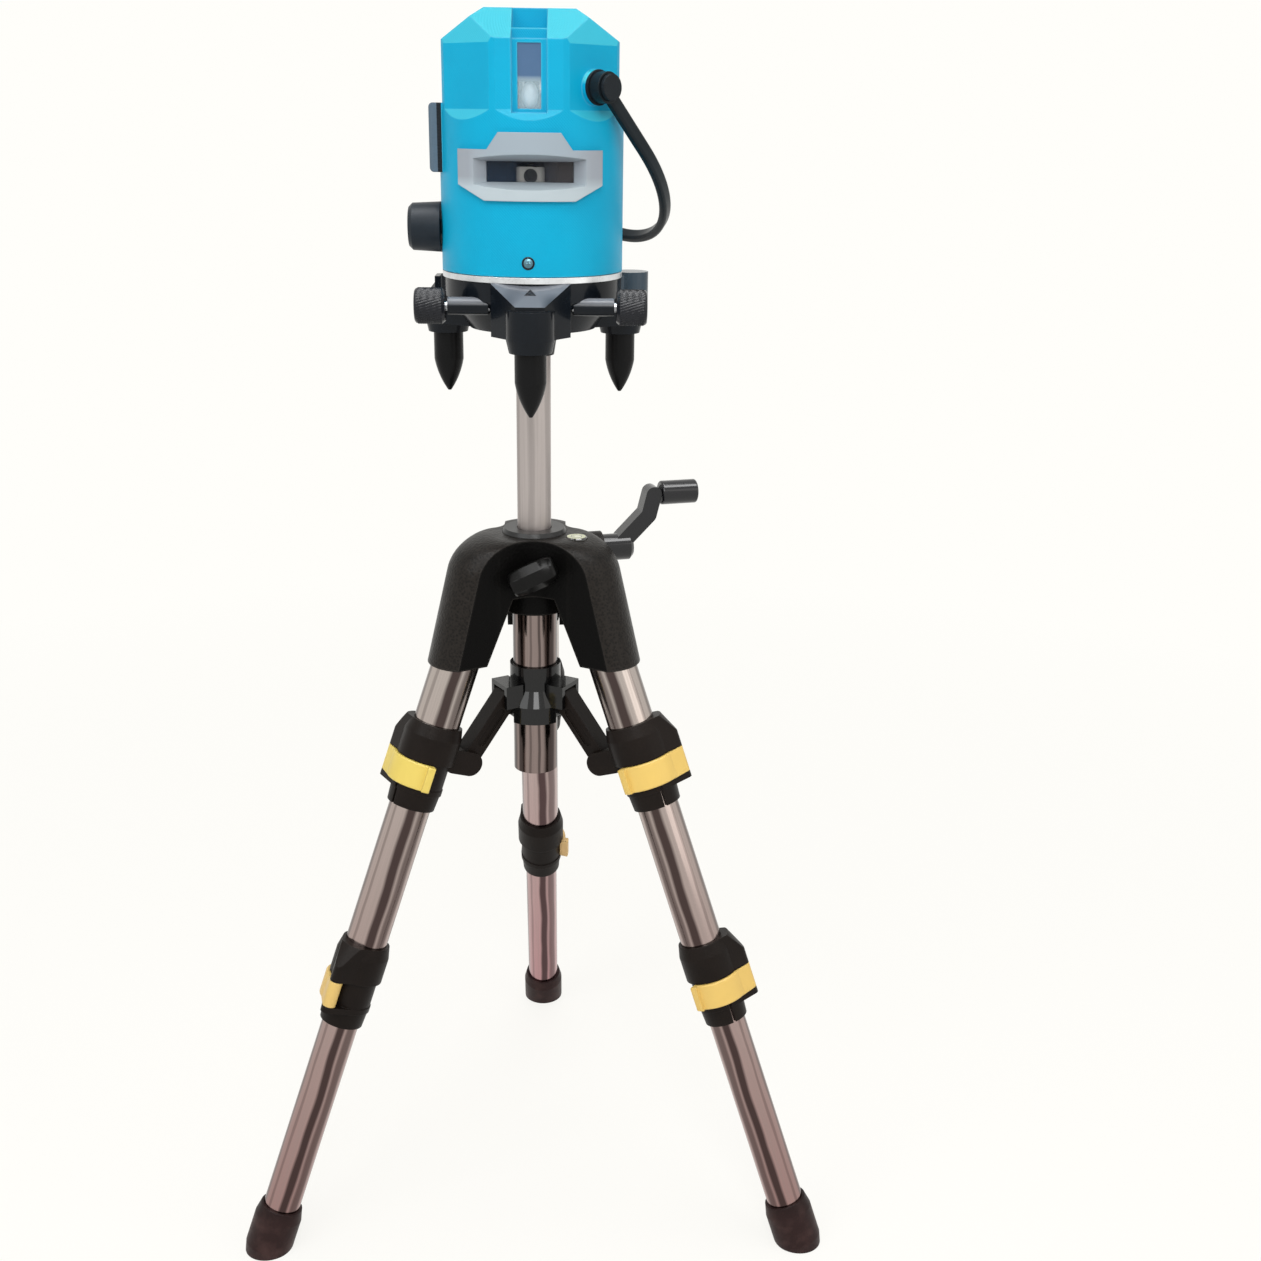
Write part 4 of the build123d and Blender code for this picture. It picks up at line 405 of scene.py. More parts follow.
def tube_metal(name, origin, axis, colour, painted_floor_tint, rough, painted_reflections, side=1):
    """Drawn aluminium tube: fine lines along its axis, and dark painted reflections at angles from its
    front.

    A painted reflection is (angle, half width, strength), the first two in degrees; the set repeats
    three times round the tube. Towards the floor the colour warms as a painted floor reflection.
    """
    g = Surface(name)
    axis = Vector(axis).normalized()
    front = Vector((0, -1, 0))
    front = (front - axis * front.dot(axis)).normalized()
    flank = axis.cross(front) * side
    local = g.shift(g.place, origin)
    across, other, along = (g.dot(local, way) for way in (flank, front, axis))
    lines = g.noise(900.0, 3.0, g.combine(across, other, g.times(along, 0.012)))
    sway = g.noise(60.0, 2.0, g.combine(across, other, g.times(along, 0.3)))
    angle = g.plus(g.math("ARCTAN2", across, other), g.spread(sway, -0.06, 0.06))
    painted_reflection = 0.0
    # Dark painted reflections at angles round the tube
    for centre, half, strength in painted_reflections:
        away = g.absolute(g.wrap(g.minus(angle, math.radians(centre)), TURN / 6))
        mark = g.remap(away, math.radians(half), math.radians(half) * 0.5)
        painted_reflection = g.larger(painted_reflection, g.times(mark, strength))
    height = g.split(g.place)[2]
    # Warmer towards the floor: a painted floor reflection
    body = g.mix(g.remap(height, TUBE_LOW, TUBE_HIGH), painted_floor_tint, colour)
    body = g.mix(g.times(g.remap(lines, 0.4, 0.7), 0.22), body, shade(colour, 0.6))
    g.set(Base_Color=g.mix(painted_reflection, body, shade(painted_floor_tint, 0.13)), Metallic=1.0)
    g.set(Roughness=g.spread(lines, rough - 0.05, rough + 0.09), Anisotropic=0.35)
    g.set(Normal=g.bump(lines, METAL_GRAIN, strength=0.35, edge=METAL_EDGE))
    return g.material


def machined(name, colour, rough):
    """Turned or ground metal with fine scatter."""
    g = Surface(name)
    fine = g.noise(700.0, 4.0)
    cloud = g.noise(90.0)
    g.set(Base_Color=g.mix(g.spread(cloud), colour, shade(colour, 0.75)), Metallic=1.0)
    g.set(Roughness=g.spread(fine, rough - 0.06, rough + 0.1))
    g.set(Normal=g.bump(fine, METAL_GRAIN, strength=0.3, edge=METAL_EDGE))
    return g.material


def lever_plastic(name, colour, painted_floor_tint):
    """Satin yellow plastic, warmer towards the floor as painted warm floor light, with rubbed edges."""
    g = Surface(name)
    cloud = g.noise(70.0, 4.0)
    fine = g.noise(1400.0, 2.0)
    height = g.split(g.place)[2]
    # Warmer towards the floor: painted warm floor light
    body = g.mix(g.remap(height, LEVER_LOW, LEVER_HIGH), painted_floor_tint, colour)
    body = g.mix(g.times(g.remap(cloud, 0.35, 0.75), 0.3), body, shade(colour, 0.86))
    g.set(Base_Color=g.mix(g.edge_wear_and_highlight(1.0 * MM, 0.3), body, (0.93, 0.74, 0.3)))
    g.set(Roughness=g.spread(cloud, 0.4, 0.5), Specular_IOR_Level=0.4)
    g.set(Normal=g.bump(fine, PLASTIC_GRAIN, strength=0.4, edge=0.8 * MM))
    return g.material


def housing_paint(name):
    """Cyan moulded housing with a fine woven grain, paler facets as painted light, a painted highlight
    along its edges, painted shade in its hollows, and a grey cover.
    """
    g = Surface(name)
    x, y, z = g.split(g.place)
    radius = g.length(x, y)
    waves = TURN / WEAVE_PITCH
    rows = g.math("SINE", g.times(z, waves))
    columns = g.math("SINE", g.times(g.math("ARCTAN2", y, x), HOUSING_RADIUS * waves))
    weave = g.times(rows, columns)
    cloud = g.noise(40.0, 4.0)
    blue = g.mix(g.remap(cloud, *PAINT_CLOUD), (0.003, 0.385, 0.61), (0.004, 0.35, 0.565))
    blue = g.mix(g.times(g.remap(weave, -0.4, 0.9), 0.5), blue, (0.001, 0.28, 0.49))
    across, forth, up = g.normal()
    crown = g.remap(z, CROWN_FOOT, CROWN_START, 0.35, 1.0)
    # Painted light on faces that turn upward on the crown
    painted_light_upward = g.times(g.remap(up, 0.2, 0.6), crown)
    blue = g.mix(g.times(painted_light_upward, 0.5), blue, (0.026, 0.4, 0.39))
    # Painted light on the facets on the corners, which face sideways and forward at once
    corner = g.times(g.remap(g.absolute(g.times(across, forth)), 0.1, 0.2), crown)
    corner = g.times(corner, g.remap(up, 0.15, 0.4))
    blue = g.mix(corner, blue, (0.085, 0.56, 0.63))
    # Painted highlight along the edges
    blue = g.mix(g.edge_wear_and_highlight(1.3 * MM, 0.4), blue, (0.2, 0.66, 0.84))
    cover = g.times(g.below(x, COVER_START), g.above(z, COVER_FOOT))
    # Painted shade in the hollows within the housing
    painted_shade_hollows = g.larger(*(g.times(g.below(radius, reach), g.below(z, top)) for reach, top in HOLLOWS))
    colour = g.mix(g.above(radius, HOUSING_SKIN), blue, (0.009, 0.0125, 0.016))
    colour = g.mix(cover, colour, (0.095, 0.14, 0.185))
    colour = g.mix(painted_shade_hollows, colour, (0.012, 0.016, 0.022))
    g.set(Base_Color=colour, Specular_IOR_Level=0.12)
    g.set(Roughness=g.remap(cloud, *PAINT_CLOUD, 0.34, 0.44))
    height = g.plus(weave, g.times(cloud, 0.8))
    g.set(Normal=g.bump(height, 0.07 * MM, strength=0.5, edge=0.9 * MM))
    return g.material


def satin_grey(name):
    """Frosted grey bezel, with painted light on its lower lip and left side and painted shade in its
    recess.
    """
    g = Surface(name)
    plain = (0.3, 0.36, 0.41)
    fine = g.noise(1500.0, 2.0)
    cloud = g.noise(60.0)
    x, y, z = g.split(g.place)
    # Painted light on the lower lip
    grey = g.mix(g.remap(z, BEZEL_MIDDLE, BEZEL_LIP), plain, (0.43, 0.5, 0.535))
    # Painted light on the left side
    left = g.remap(x, BEZEL_LEFT_START, BEZEL_LEFT_END, 0.0, 0.6)
    grey = g.mix(left, grey, (0.46, 0.54, 0.61))
    # Painted shade on the walls of the recess
    painted_shade_throat = g.times(g.remap(y, THROAT_MOUTH, THROAT_END), g.remap(z, THROAT_SILL, THROAT_WALL))
    grey = g.mix(painted_shade_throat, grey, (0.29, 0.32, 0.36))
    g.set(Base_Color=g.mix(g.times(g.spread(cloud), 0.12), grey, plain))
    g.set(Roughness=g.spread(fine, 0.34, 0.46), Specular_IOR_Level=0.35)
    g.set(Normal=g.bump(fine, PLASTIC_GRAIN, strength=0.4, edge=0.7 * MM))
    return g.material


def pane_glass(name):
    """Coated window glass: a dark front pane, and line panes with a blue coat over their upper part and
    a pale painted reflection below it.
    """
    g = Surface(name)
    haze = g.noise(120.0)
    x, _, height = g.split(g.place)
    line = g.above(height, LINE_PANE_FOOT)
    # Under the coat the line panes are pale: a painted reflection
    coat = g.remap(height, PANE_COAT_FOOT, PANE_COAT_START)
    navy = g.mix(haze, (0.011, 0.026, 0.05), (0.018, 0.036, 0.066))
    front = g.mix(g.remap(x, PANE_NAVY_END, PANE_BROWN_START), navy, (0.06, 0.056, 0.06))
    blue = g.mix(coat, (0.62, 0.8, 0.88), g.mix(haze, (0.1, 0.19, 0.34), (0.085, 0.165, 0.3)))
    g.set(Base_Color=g.mix(line, front, blue), Specular_IOR_Level=0.25)
    line_cover = g.times(line, g.remap(coat, 0.0, 1.0, 0.3, 0.76))
    sides = g.remap(g.absolute(x), PANE_CLEAR_HALF, PANE_DARK_START, 0.1, 0.6)
    front_cover = g.times(g.minus(1.0, line), sides)
    g.set(Roughness=g.spread(haze, 0.03, 0.08), Alpha=g.plus(line_cover, front_cover))
    return g.material


def carrier_metal(name):
    """Dark blasted metal of the laser carrier."""
    g = Surface(name)
    cloud = g.noise(90.0)
    fine = g.noise(700.0)
    g.set(Base_Color=g.mix(g.spread(cloud), (0.045, 0.05, 0.06), (0.03, 0.034, 0.042)))
    g.set(Roughness=g.spread(fine, 0.3, 0.5))
    g.set(Normal=g.bump(fine, METAL_GRAIN, strength=0.3, edge=METAL_EDGE))
    return g.material


def vial_fluid(name, centre, radius):
    """Pale fluid with a bubble, a black ring and a black rim, drawn round the vial's centre."""
    g = Surface(name)
    x, y, _ = g.split(g.shift(g.place, centre))
    reach = g.length(x, y)
    ring = g.below(g.absolute(g.minus(reach, radius * 0.5)), radius * 0.045)
    rim = g.above(reach, radius * 0.88)
    bubble = g.length(g.minus(x, radius * 0.12), y)
    bubble = g.remap(bubble, radius * 0.36, radius * 0.3)
    cloud = g.noise(300.0, 2.0)
    fluid = g.mix(cloud, (0.56, 0.58, 0.3), (0.48, 0.52, 0.26))
    fluid = g.mix(bubble, fluid, (0.72, 0.74, 0.52))
    fluid = g.mix(g.larger(ring, rim), fluid, (0.03, 0.03, 0.028))
    g.set(Base_Color=fluid, Roughness=g.spread(cloud, 0.06, 0.12), Coat_Weight=0.6)
    g.set(Normal=g.bump(bubble, 0.3 * MM, strength=0.4, edge=0.3 * MM))
    return g.material


def lens_white(name):
    """Frosted lens of a laser module."""
    g = Surface(name)
    cloud = g.noise(400.0, 2.0)
    g.set(Base_Color=g.mix(cloud, (0.86, 0.9, 0.93), (0.76, 0.83, 0.88)))
    g.set(Roughness=g.spread(cloud, 0.14, 0.3), Coat_Weight=0.4)
    g.set(Normal=g.bump(cloud, METAL_GRAIN, strength=0.3))
    return g.material


def rubber(name):
    """Brown-black rubber with a dusty bloom, and painted shade towards its upper rim."""
    g = Surface(name)
    cloud = g.noise(110.0, 5.0)
    fine = g.noise(1100.0)
    body = g.mix(g.remap(cloud, 0.45, 0.75), (0.025, 0.0125, 0.012), (0.05, 0.0265, 0.0245))
    # Painted shade towards the upper rim, just below the tube
    rim = g.remap(g.split(g.place)[2], RUBBER_MIDDLE, RUBBER_RIM, 0.0, 0.8)
    g.set(Base_Color=g.mix(rim, body, (0.006, 0.0034, 0.0032)))
    g.set(Roughness=g.spread(fine, 0.34, 0.5), Specular_IOR_Level=0.1)
    height = g.plus(cloud, g.times(fine, 0.4))
    g.set(Normal=g.bump(height, 0.1 * MM, strength=0.4, edge=1.2 * MM))
    return g.material


HOOD_BLACK = hood_plastic("hood_black")
BASE_BLACK = base_plastic("base_black")
LOCK_BLACK = black_plastic(
    "lock_black", (0.0074, 0.0049, 0.0038), rough=0.42, grain=0.12 * MM, grain_size=0.7 * MM, sheen=0.11
)
# The wing's edge lift paints a highlight along its front ridge
WING_BLACK = black_plastic(
    "wing_black", (0.003, 0.0029, 0.0028), rough=0.34, grain=0.02 * MM, grain_size=0.6 * MM, sheen=0.04,
    wear_and_highlight=0.12, edge=0.3 * MM, lift=0.05, coat=0.22,
)
BUSH_BLACK = gloss_black("bush_black", (0.012, 0.012, 0.0122), rough=0.3, sheen=0.3)
HUB_BLACK = gloss_black("hub_black", (0.0035, 0.0035, 0.0037), rough=0.3, sheen=0.06, coat=0.62)
KNOB_BLACK = gloss_black("knob_black", (0.0085, 0.0095, 0.0125), rough=0.2, sheen=0.24)
FOOT_BLACK = gloss_black("foot_black", (0.0038, 0.0039, 0.0042), rough=0.26, sheen=0.12)
CRANK_BLACK = gloss_black("crank_black", (0.0035, 0.0036, 0.005), rough=0.3, sheen=0.08, coat=0.8)
BAIL_BLACK = gloss_black("bail_black", (0.0075, 0.0115, 0.0145), rough=0.28, sheen=0.13)
POWER_BLACK = gloss_black("power_black", (0.0135, 0.019, 0.0255), rough=0.34, sheen=0.15)
HOUSING_BLUE = housing_paint("housing_blue")
BEZEL_GREY = satin_grey("bezel_grey")
PANE = pane_glass("pane_glass")
LENS = lens_white("lens_white")
STEEL = machined("steel", (0.56, 0.56, 0.57), rough=0.28)
RING_SILVER = machined("ring_silver", (0.74, 0.76, 0.78), rough=0.3)
PLATE_GREY = machined("plate_grey", (0.42, 0.42, 0.41), rough=0.45)
BRASS = machined("brass", (0.66, 0.5, 0.24), rough=0.3)
SHAFT = machined("shaft_metal", (0.36, 0.37, 0.39), rough=0.18)
SCREW = machined("screw_metal", (0.12, 0.24, 0.3), rough=0.3)
CARRIER = carrier_metal("carrier_metal")
RUBBER = rubber("foot_rubber")
# Each lever's second colour is painted warm floor light towards the floor
YELLOW = {
    "left": lever_plastic("lever_yellow_left", (0.72, 0.56, 0.115), (0.65, 0.42, 0.145)),
    "right": lever_plastic("lever_yellow_right", (0.74, 0.51, 0.13), (0.72, 0.485, 0.13)),
    "back": lever_plastic("lever_yellow_back", (0.73, 0.51, 0.14), (0.74, 0.49, 0.23)),
}
vial_low, vial_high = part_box("shoulder_vial")
VIAL = vial_fluid("vial_fluid", (vial_low + vial_high) / 2, (vial_high.x - vial_low.x) / 2)

ORIGIN, DOWN = (0, 0, 0), (0, 0, -1)
# Column and guide tube: dark painted reflections at angles round them, warmer low down as a painted
# floor reflection
COLUMN_METAL = tube_metal(
    "column_metal", ORIGIN, DOWN, (0.46, 0.415, 0.4), (0.43, 0.375, 0.36), rough=0.42,
    painted_reflections=((8.0, 14.0, 0.22), (-50.0, 12.0, 0.18), (58.0, 9.0, 0.2)),
)
GUIDE_METAL = tube_metal(
    "guide_metal", ORIGIN, DOWN, (0.26, 0.205, 0.19), (0.24, 0.175, 0.165), rough=0.14,
    painted_reflections=((39.0, 13.0, 0.85), (12.0, 4.0, 0.45), (-12.0, 5.0, 0.7), (-44.0, 22.0, 0.85)),
)
CHAMPAGNE = (0.465, 0.41, 0.38)
ROSE = (0.335, 0.205, 0.195)
PINK = (0.46, 0.255, 0.265)
# Dark painted reflections on the legs, and each leg's painted warm floor reflection low down
LEG_PAINTED_REFLECTIONS = ((-8.0, 17.0, 0.93), (-42.0, 19.0, 0.68), (40.0, 6.0, 0.35))
PAINTED_FLOOR_TINT = {"left": ROSE, "right": ROSE, "back": PINK}
OUTER_SIDE = {"left": 1, "right": -1, "back": 1}


def leg_metal(name):
    """Tube metal of one leg, with its painted reflections laid along the leg's own axis."""
    pivot = Vector(JOINTS[f"leg_{name}_fold"]["pos_m"])
    axis = -Vector(JOINTS[f"middle_{name}_slide"]["axis"])
    return tube_metal(
        f"leg_metal_{name}", pivot, axis, CHAMPAGNE, PAINTED_FLOOR_TINT[name], rough=0.16, painted_reflections=LEG_PAINTED_REFLECTIONS,
        side=OUTER_SIDE[name],
    )


LEG_METAL = {name: leg_metal(name) for name in LEGS}


# Pieces made here


def finish_piece(name, builder, material, body, smooth=40.0):
    """Turn a bmesh into a named piece that rides on a body, smooth up to an angle in degrees."""
    mesh = bpy.data.meshes.new(name)
    builder.normal_update()
    builder.to_mesh(mesh)
    builder.free()
    mesh.materials.append(material)
    piece = bpy.data.objects.new(name, mesh)
    bpy.context.scene.collection.objects.link(piece)
    mesh.shade_smooth()
    mesh.set_sharp_from_angle(angle=math.radians(smooth))
    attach(piece, body)
    return piece


def quarter_turn(axis, count=1):
    """Turn by a number of right angles about an axis."""
    return Matrix.Rotation(count * math.pi / 2, 4, axis)


def step_angles(steps):
    """Angles of equal steps round a circle."""
    return [TURN * step / steps for step in range(steps)]


def skin(builder, rings, closed=False):
    """Join rings of vertices by quads, the last to the first if closed, or else with end caps."""
    following_rings = rings[1:] + rings[:1] if closed else rings[1:]
    for lower, upper in zip(rings, following_rings):
        steps = len(lower)
        for step in range(steps):
            following = (step + 1) % steps
            builder.faces.new((lower[step], lower[following], upper[following], upper[step]))
    if not closed:
        builder.faces.new(tuple(reversed(rings[0])))
        builder.faces.new(tuple(rings[-1]))


def round_ring(builder, turn, reaches, height):
    """Ring of vertices about Z at a height, one for each reach in order, placed by a matrix."""
    ring = []
    for angle, reach in zip(step_angles(len(reaches)), reaches):
        point = Vector((reach * math.cos(angle), reach * math.sin(angle), height))
        ring.append(builder.verts.new(turn @ point))
    return ring


def lathe(builder, profile, turn):
    """Add a surface of revolution about Z from (radius, height) points in millimetres."""
    steps = 40
    rings = [
        round_ring(builder, turn, [radius * MM] * steps, height * MM) for radius, height in profile
    ]
    skin(builder, rings)


def knurled_knobs():
    """Both tangent knobs as one piece, with diagonal knurling, domed ends and plain collars."""
    builder = bmesh.new()
    start, length, radius = 44.2 * MM, 16.0 * MM, 9.3 * MM
    teeth, rows, steps = 40, 18, 160
    depth, twist = 0.45 * MM, 0.55
    # Each ring: its shares of the radius, of the length and of the knurling's depth
    profile = [(0.2, 0.0, 0.0), (0.82, 0.0, 0.0), (0.9, 0.05, 0.0), (0.95, 0.09, 0.0)]
    profile += [(1.0, 0.1 + 0.78 * row / rows, 1.0) for row in range(rows + 1)]
    profile += [(0.965, 0.9, 0.0), (0.95, 0.94, 0.0), (0.86, 0.985, 0.0)]
    profile += [(0.6, 1.0, 0.0), (0.2, 0.99, 0.0)]
    for side in (1, -1):
        turn = Matrix.Translation(WORM_CENTRE) @ quarter_turn("Y", side)
        rings = []
        for share, along, cut in profile:
            waves = [math.sin(teeth * (angle + twist * along)) for angle in step_angles(steps)]
            reaches = [share * radius - cut * depth * (0.5 - 0.5 * wave) for wave in waves]
            rings.append(round_ring(builder, turn, reaches, start + along * length))
        skin(builder, rings)
    return builder


def line_lens(azimuth):
    """Rounded lens of one line module, seen in the lower half of its window."""
    builder = bmesh.new()
    radius, depth, steps = 4.3, 3.6, 8
    taller = Matrix.Diagonal((1.5, 1.0, 1.0, 1.0))
    turn = Matrix.Rotation(math.radians(azimuth), 4, "Z")
    turn = turn @ Matrix.Translation((LENS_REACH, 0, LENS_HEIGHT))
    angles = [math.pi / 2 * step / steps for step in range(steps)]
    profile = [(radius * math.cos(angle) ** 0.7, depth * math.sin(angle)) for angle in angles]
    lathe(builder, profile, turn @ quarter_turn("Y") @ taller)
    return builder


def rectangle_reach(angle, half_width, half_height):
    """Distance from the middle of a rectangle to its edge at an angle."""
    least = 1e-6
    across = half_width / max(abs(math.cos(angle)), least)
    up = half_height / max(abs(math.sin(angle)), least)
    return min(across, up)


def emitter_plate():
    """Pale square face plate round the mouth of the front emitter."""
    builder = bmesh.new()
    half_width, half_height, mouth, rim = 7.2 * MM, 4.5 * MM, 3.5 * MM, 0.3 * MM
    back, front = -29.3 * MM, -30.6 * MM
    angles = step_angles(48)
    outline = [rectangle_reach(angle, half_width, half_height) for angle in angles]
    inset = [rectangle_reach(angle, half_width - rim, half_height - rim) for angle in angles]
    hole = [mouth] * len(angles)
    layers = ((back, outline), (front, outline), (front, inset), (front, hole), (back, hole))
    rings = []
    for depth, reaches in layers:
        ring = []
        for angle, reach in zip(angles, reaches):
            height = EMITTER_HEIGHT + reach * math.sin(angle)
            ring.append(builder.verts.new((reach * math.cos(angle), depth, height)))
        rings.append(ring)
    skin(builder, rings, closed=True)
    bmesh.ops.recalc_face_normals(builder, faces=builder.faces)
    return builder


SCREW_PLACE = Matrix.Translation(SCREW_CENTRE) @ quarter_turn("X")


def front_screw():
    """Pan-head screw with a fine cross, in the front of the housing."""
    builder = bmesh.new()
    lathe(builder, [(2.55, -0.6), (2.55, 0.3), (2.3, 0.75), (1.5, 1.05), (0.3, 1.15)], SCREW_PLACE)
    bar = Matrix.Translation((0, 0, 1.1 * MM)) @ Matrix.Diagonal((2.6 * MM, 0.45 * MM, 0.2 * MM, 1.0))
    for count in range(2):
        bmesh.ops.create_cube(builder, size=1.0, matrix=SCREW_PLACE @ quarter_turn("Z", count) @ bar)
    return builder


def screw_hole_shade():
    """Dark ring round the front screw, painted shade of the hole that the screw sits in."""
    builder = bmesh.new()
    lathe(builder, [(3.3, -0.6), (3.3, 0.2), (3.05, 0.45), (2.7, 0.4), (2.6, 0.1)], SCREW_PLACE)
    return builder


def index_mark():
    """Raised triangular outline on the front slope of the base, drawn in millimetres."""
    builder = bmesh.new()
    slope_top, slope_foot = Vector((0, -45.0, 27.0)), Vector((0, -62.0, 17.0))
    centre = slope_top.lerp(slope_foot, 0.42)
    down = (slope_foot - slope_top).normalized()
    across = Vector((1, 0, 0))
    out = down.cross(across).normalized()
    outer, inner = 3.4, 2.3
    sunk, floor, proud = -0.2, 0.05, 0.25
    rings = []
    for size, lift in ((outer, sunk), (outer, proud), (inner, proud), (inner, floor)):
        ring = []
        for angle in (math.radians(90 + 120 * corner) for corner in range(3)):
            point = centre + across * (size * math.cos(angle)) - down * (size * math.sin(angle))
            point = point + out * lift
            ring.append(builder.verts.new((point + Vector((0, 0, MOUNT / MM))) * MM))
        rings.append(ring)
    skin(builder, rings)
    bmesh.ops.recalc_face_normals(builder, faces=builder.faces)
    return builder


def lock_wing():
    """Wing knob of the column lock: a blade with a sloped top and a front ridge, hub and screw."""
    builder = bmesh.new()
    tilt, half_length, stations = math.radians(-25.0), 13.5 * MM, 24
    # Depth and height of the blade's corners, in millimetres
    section = ((0, -7.5), (0, 7.5), (-3.5, 7.5), (-8.5, 3.6), (-10, -3.2), (-5, -7.5))
    ridges = (2, 3, 4, 5)
    place = Matrix.Translation((0, WING_BACK, JOINTS["column_lock_turn"]["pos_m"][2]))
    turn = place @ Matrix.Rotation(tilt, 4, "Y")
    rings = []
    for station in range(stations + 1):
        angle = math.pi * (0.01 + 0.98 * station / stations)
        along = -half_length * math.cos(angle)
        swell = math.sin(angle) ** 0.2
        ring = [Vector((along, depth * swell * MM, height * swell * MM)) for depth, height in section]
        rings.append([builder.verts.new(turn @ point) for point in ring])
    skin(builder, rings)
    edges = [builder.edges.get((a[k], b[k])) for a, b in zip(rings, rings[1:]) for k in ridges]
    bmesh.ops.bevel(builder, geom=edges, offset=0.45 * MM, segments=2, profile=0.5, affect="EDGES")
    shank = [(6.0, 0.0), (6.0, 7.4), (5.6, 7.83), (3.0, 7.83), (3.0, 21.4), (2.5, 21.9)]
    lathe(builder, shank, place @ quarter_turn("X", -1))
    bmesh.ops.recalc_face_normals(builder, faces=builder.faces)
    return builder


wing = finish_piece("lock_wing", lock_wing(), WING_BLACK, "column_lock")
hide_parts("column_lock_knob")
knobs = finish_piece("knurled_knobs", knurled_knobs(), KNOB_BLACK, "fine_drive")
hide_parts("tangent_knobs")
for azimuth in (0, 90, 180, 270):
    finish_piece(f"line_lens_{azimuth}", line_lens(azimuth), LENS, "pendulum")
finish_piece("emitter_plate", emitter_plate(), PLATE_GREY, "pendulum")
finish_piece("front_screw", front_screw(), SCREW, "level_head", smooth=30.0)
# A dark ring as painted shade round the front screw
finish_piece("screw_hole_shade", screw_hole_shade(), KNOB_BLACK, "level_head", smooth=30.0)
finish_piece("index_mark", index_mark(), KNOB_BLACK, "level_base", smooth=20.0)


# Materials of the CAD nodes

BY_NAME = {
    "shoulder": HOOD_BLACK,
    "column_bush": BUSH_BLACK,
    "leg_pivot_pins": STEEL,
    "guide_tube": GUIDE_METAL,
    "shoulder_vial": VIAL,
    "centre_column": COLUMN_METAL,
    "column_rack": STEEL,
    "column_end_stop": LOCK_BLACK,
    "column_head": FOOT_BLACK,
    "head_stud": STEEL,
    "crank_shaft": STEEL,
    "crank_arm": CRANK_BLACK,
    "crank_grip": CRANK_BLACK,
    "column_lock_knob": WING_BLACK,
    "spreader_hub": HUB_BLACK,
    "level_base": BASE_BLACK,
    "degree_ring": RING_SILVER,
    "worm_wheel": BRASS,
    "tangent_screw": SHAFT,
    "tangent_knobs": KNOB_BLACK,
    "housing": HOUSING_BLUE,
    "window_bezel": BEZEL_GREY,
    "window_glass": PANE,
    "power_knob": POWER_BLACK,
    "carry_handle": BAIL_BLACK,
    "gimbal_ring": STEEL,
    "pendulum": CARRIER,
}
BY_KIND = {
    "levelling_foot": FOOT_BLACK,
    "leg_joint": LOCK_BLACK,
    "upper_lock": LOCK_BLACK,
    "lower_lock": LOCK_BLACK,
    "brace_arm": LOCK_BLACK,
    "rubber_foot": RUBBER,
}


def node_material(name):
    """Material of one CAD node."""
    if name in BY_NAME:
        return BY_NAME[name]
    kind, place = name.rsplit("_", 1)
    if kind.endswith("_lever"):
        return YELLOW[place]
    if kind.endswith("_tube"):
        return LEG_METAL[place]
    return BY_KIND[kind]


for name, node in NODES.items():
    node.data.materials.clear()
    node.data.materials.append(node_material(name))


# Studio

PALE = (1.0, 0.991, 0.956)
WHITE = (1.0, 1.0, 1.0)
FLOOR_HALF = 30.0
AIM = (0, 0, 0.4)


def floor_paper():
    """Pale paper that keeps a light shadow near the object."""
    g = Surface("floor_paper")
    fibre = g.noise(140.0, 4.0)
    g.set(Base_Color=g.mix(fibre, (0.9, 0.89, 0.86), (0.88, 0.87, 0.84)))
    g.set(Roughness=0.9, Specular_IOR_Level=0.1)
    distance = g.add("VectorMath", operation="LENGTH")
    g.wire(g.place, distance.inputs[0])
    lift = g.remap(distance.outputs["Value"], 0.25, 1.3, 0.84, 1.0)
    g.blend_shaders(g.times(g.white_rays(), lift), g.shader.outputs[0], g.glow("Emission", PALE))
    return g.material


def floor_sheet():
    """Square stage floor."""
    mesh = bpy.data.meshes.new("floor")
    corners = ((-1, -1), (1, -1), (1, 1), (-1, 1))
    mesh.from_pydata([(x * FLOOR_HALF, y * FLOOR_HALF, 0) for x, y in corners], [], [(0, 1, 2, 3)])
    mesh.materials.append(floor_paper())
    sheet = bpy.data.objects.new("floor", mesh)
    bpy.context.scene.collection.objects.link(sheet)


def world_light():
    """Pale surroundings, dimmer as a light source than as a background."""
    world = bpy.data.worlds.new("studio")
    bpy.context.scene.world = world
    g = Graph(world, "OutputWorld")
    source = g.glow("Background", (1.0, 0.98, 0.97), 0.5)
    g.blend_shaders(g.white_rays(), source, g.glow("Background", PALE))


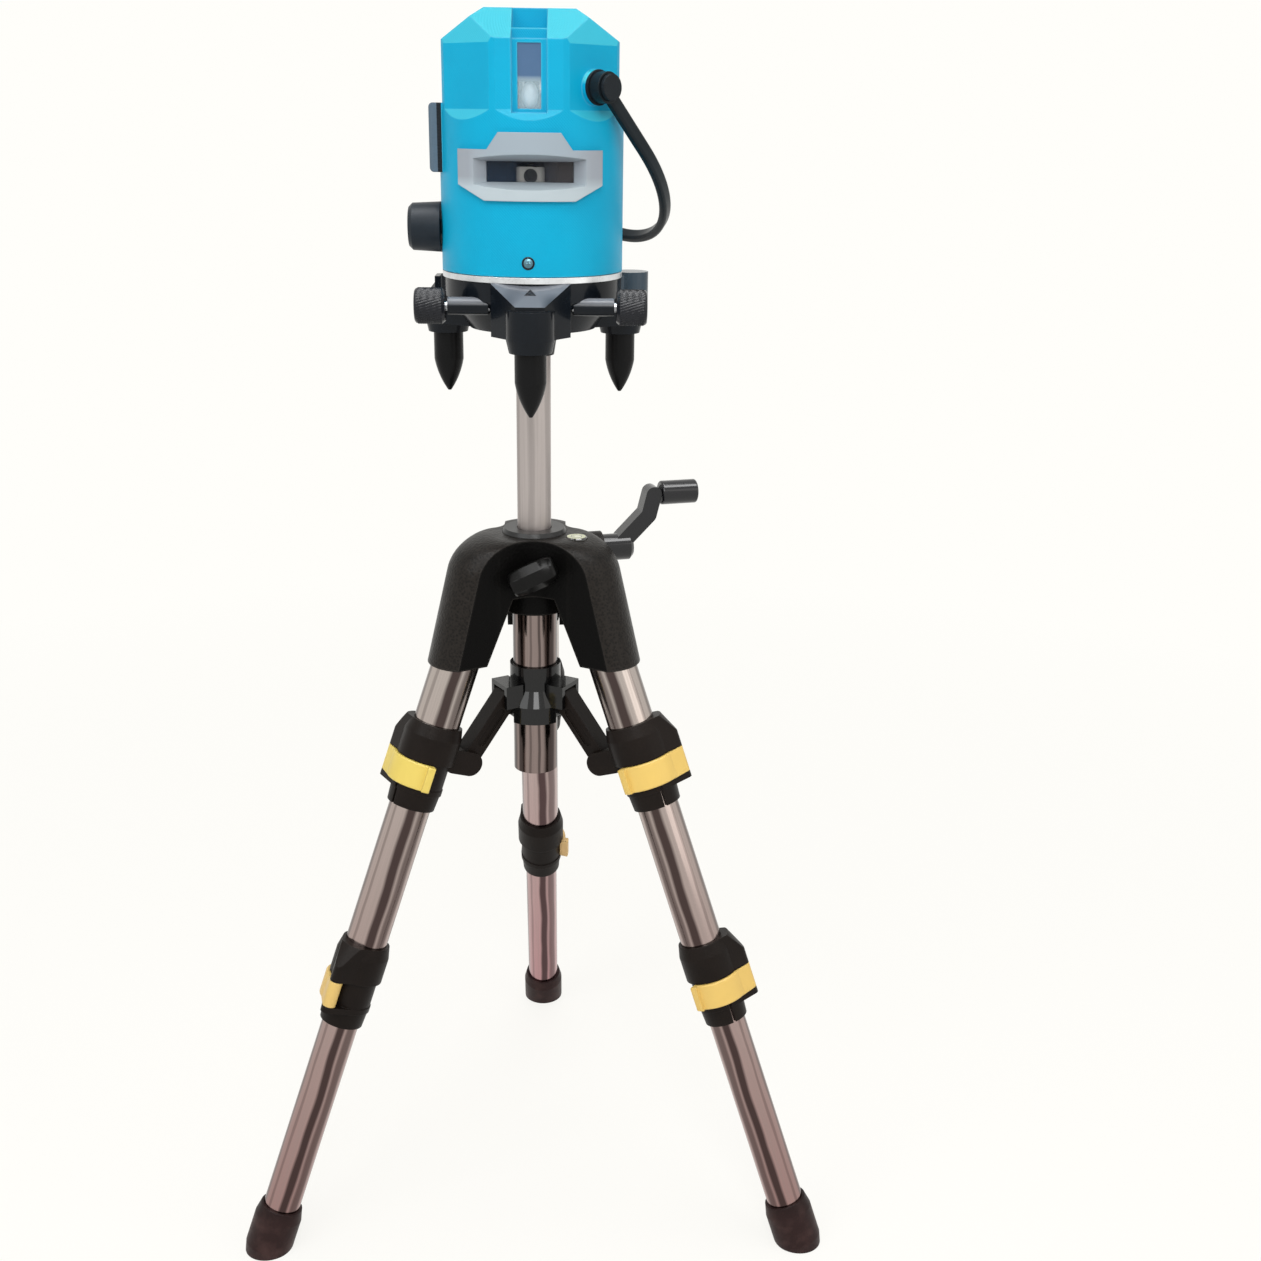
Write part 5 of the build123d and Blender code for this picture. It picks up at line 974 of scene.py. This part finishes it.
def soft_box(name, place, size, power, colour=WHITE, target=AIM, width=None):
    """Square soft light aimed at a point, or with a width a strip that only gloss shows."""
    lamp = bpy.data.lights.new(name, "AREA")
    lamp.energy = power
    lamp.size = size
    lamp.color = colour
    light = bpy.data.objects.new(name, lamp)
    if width:
        lamp.shape = "RECTANGLE"
        lamp.size = width
        lamp.size_y = size
        light.visible_diffuse = False
    light.location = place
    light.rotation_euler = (Vector(target) - Vector(place)).to_track_quat("-Z", "Y").to_euler()
    bpy.context.scene.collection.objects.link(light)


floor_sheet()
world_light()
soft_box("key_light", (-1.3, -1.3, 1.7), size=1.2, power=13.0, colour=(0.97, 0.99, 1.0))
soft_box("fill_light", (1.6, -1.0, 1.0), size=1.4, power=5.6, colour=(1.0, 0.96, 0.92))
soft_box("top_light", (0.1, 0.1, 1.9), size=0.7, power=9.5)
soft_box("front_light", (0.1, -1.25, 1.25), size=0.5, power=6.4)
soft_box("gloss_strip", (0.0, -0.25, 1.6), size=0.45, power=22.0, target=(0, -0.1, 0.4), width=1.8)
soft_box("high_light", (-0.2, -1.1, 2.1), size=0.8, power=7.2)


# Camera, fitted to the photo

CAMERA_PLACE = (-12.01 * MM, -839.77 * MM, 637.29 * MM)
CAMERA_TURN = math.radians(2.32)
PITCH, YAW, ROLL = math.radians(18.58), math.radians(4.6), math.radians(0.84)
FRAME_PIXELS, FOCAL_PIXELS, SENSOR = 1261, 1524.31, 36.0


def photo_camera():
    """Camera at the photo's viewpoint."""
    level = math.cos(PITCH)
    forward = Vector((math.sin(YAW) * level, math.cos(YAW) * level, -math.sin(PITCH)))
    right = Vector((math.cos(YAW), -math.sin(YAW), 0))
    up = right.cross(forward)
    side = right * math.cos(ROLL) + up * math.sin(ROLL)
    top = up * math.cos(ROLL) - right * math.sin(ROLL)
    axes = Matrix((side, top, -forward)).transposed().to_4x4()
    data = bpy.data.cameras.new("photo_camera")
    data.sensor_width = SENSOR
    data.lens = SENSOR * FOCAL_PIXELS / FRAME_PIXELS
    data.clip_start = 10 * MM
    camera = bpy.data.objects.new("photo_camera", data)
    camera.matrix_world = Matrix.Rotation(CAMERA_TURN, 4, "Z") @ Matrix.Translation(CAMERA_PLACE) @ axes
    bpy.context.scene.collection.objects.link(camera)
    bpy.context.scene.camera = camera


photo_camera()
bpy.context.scene.view_settings.view_transform = "Standard"
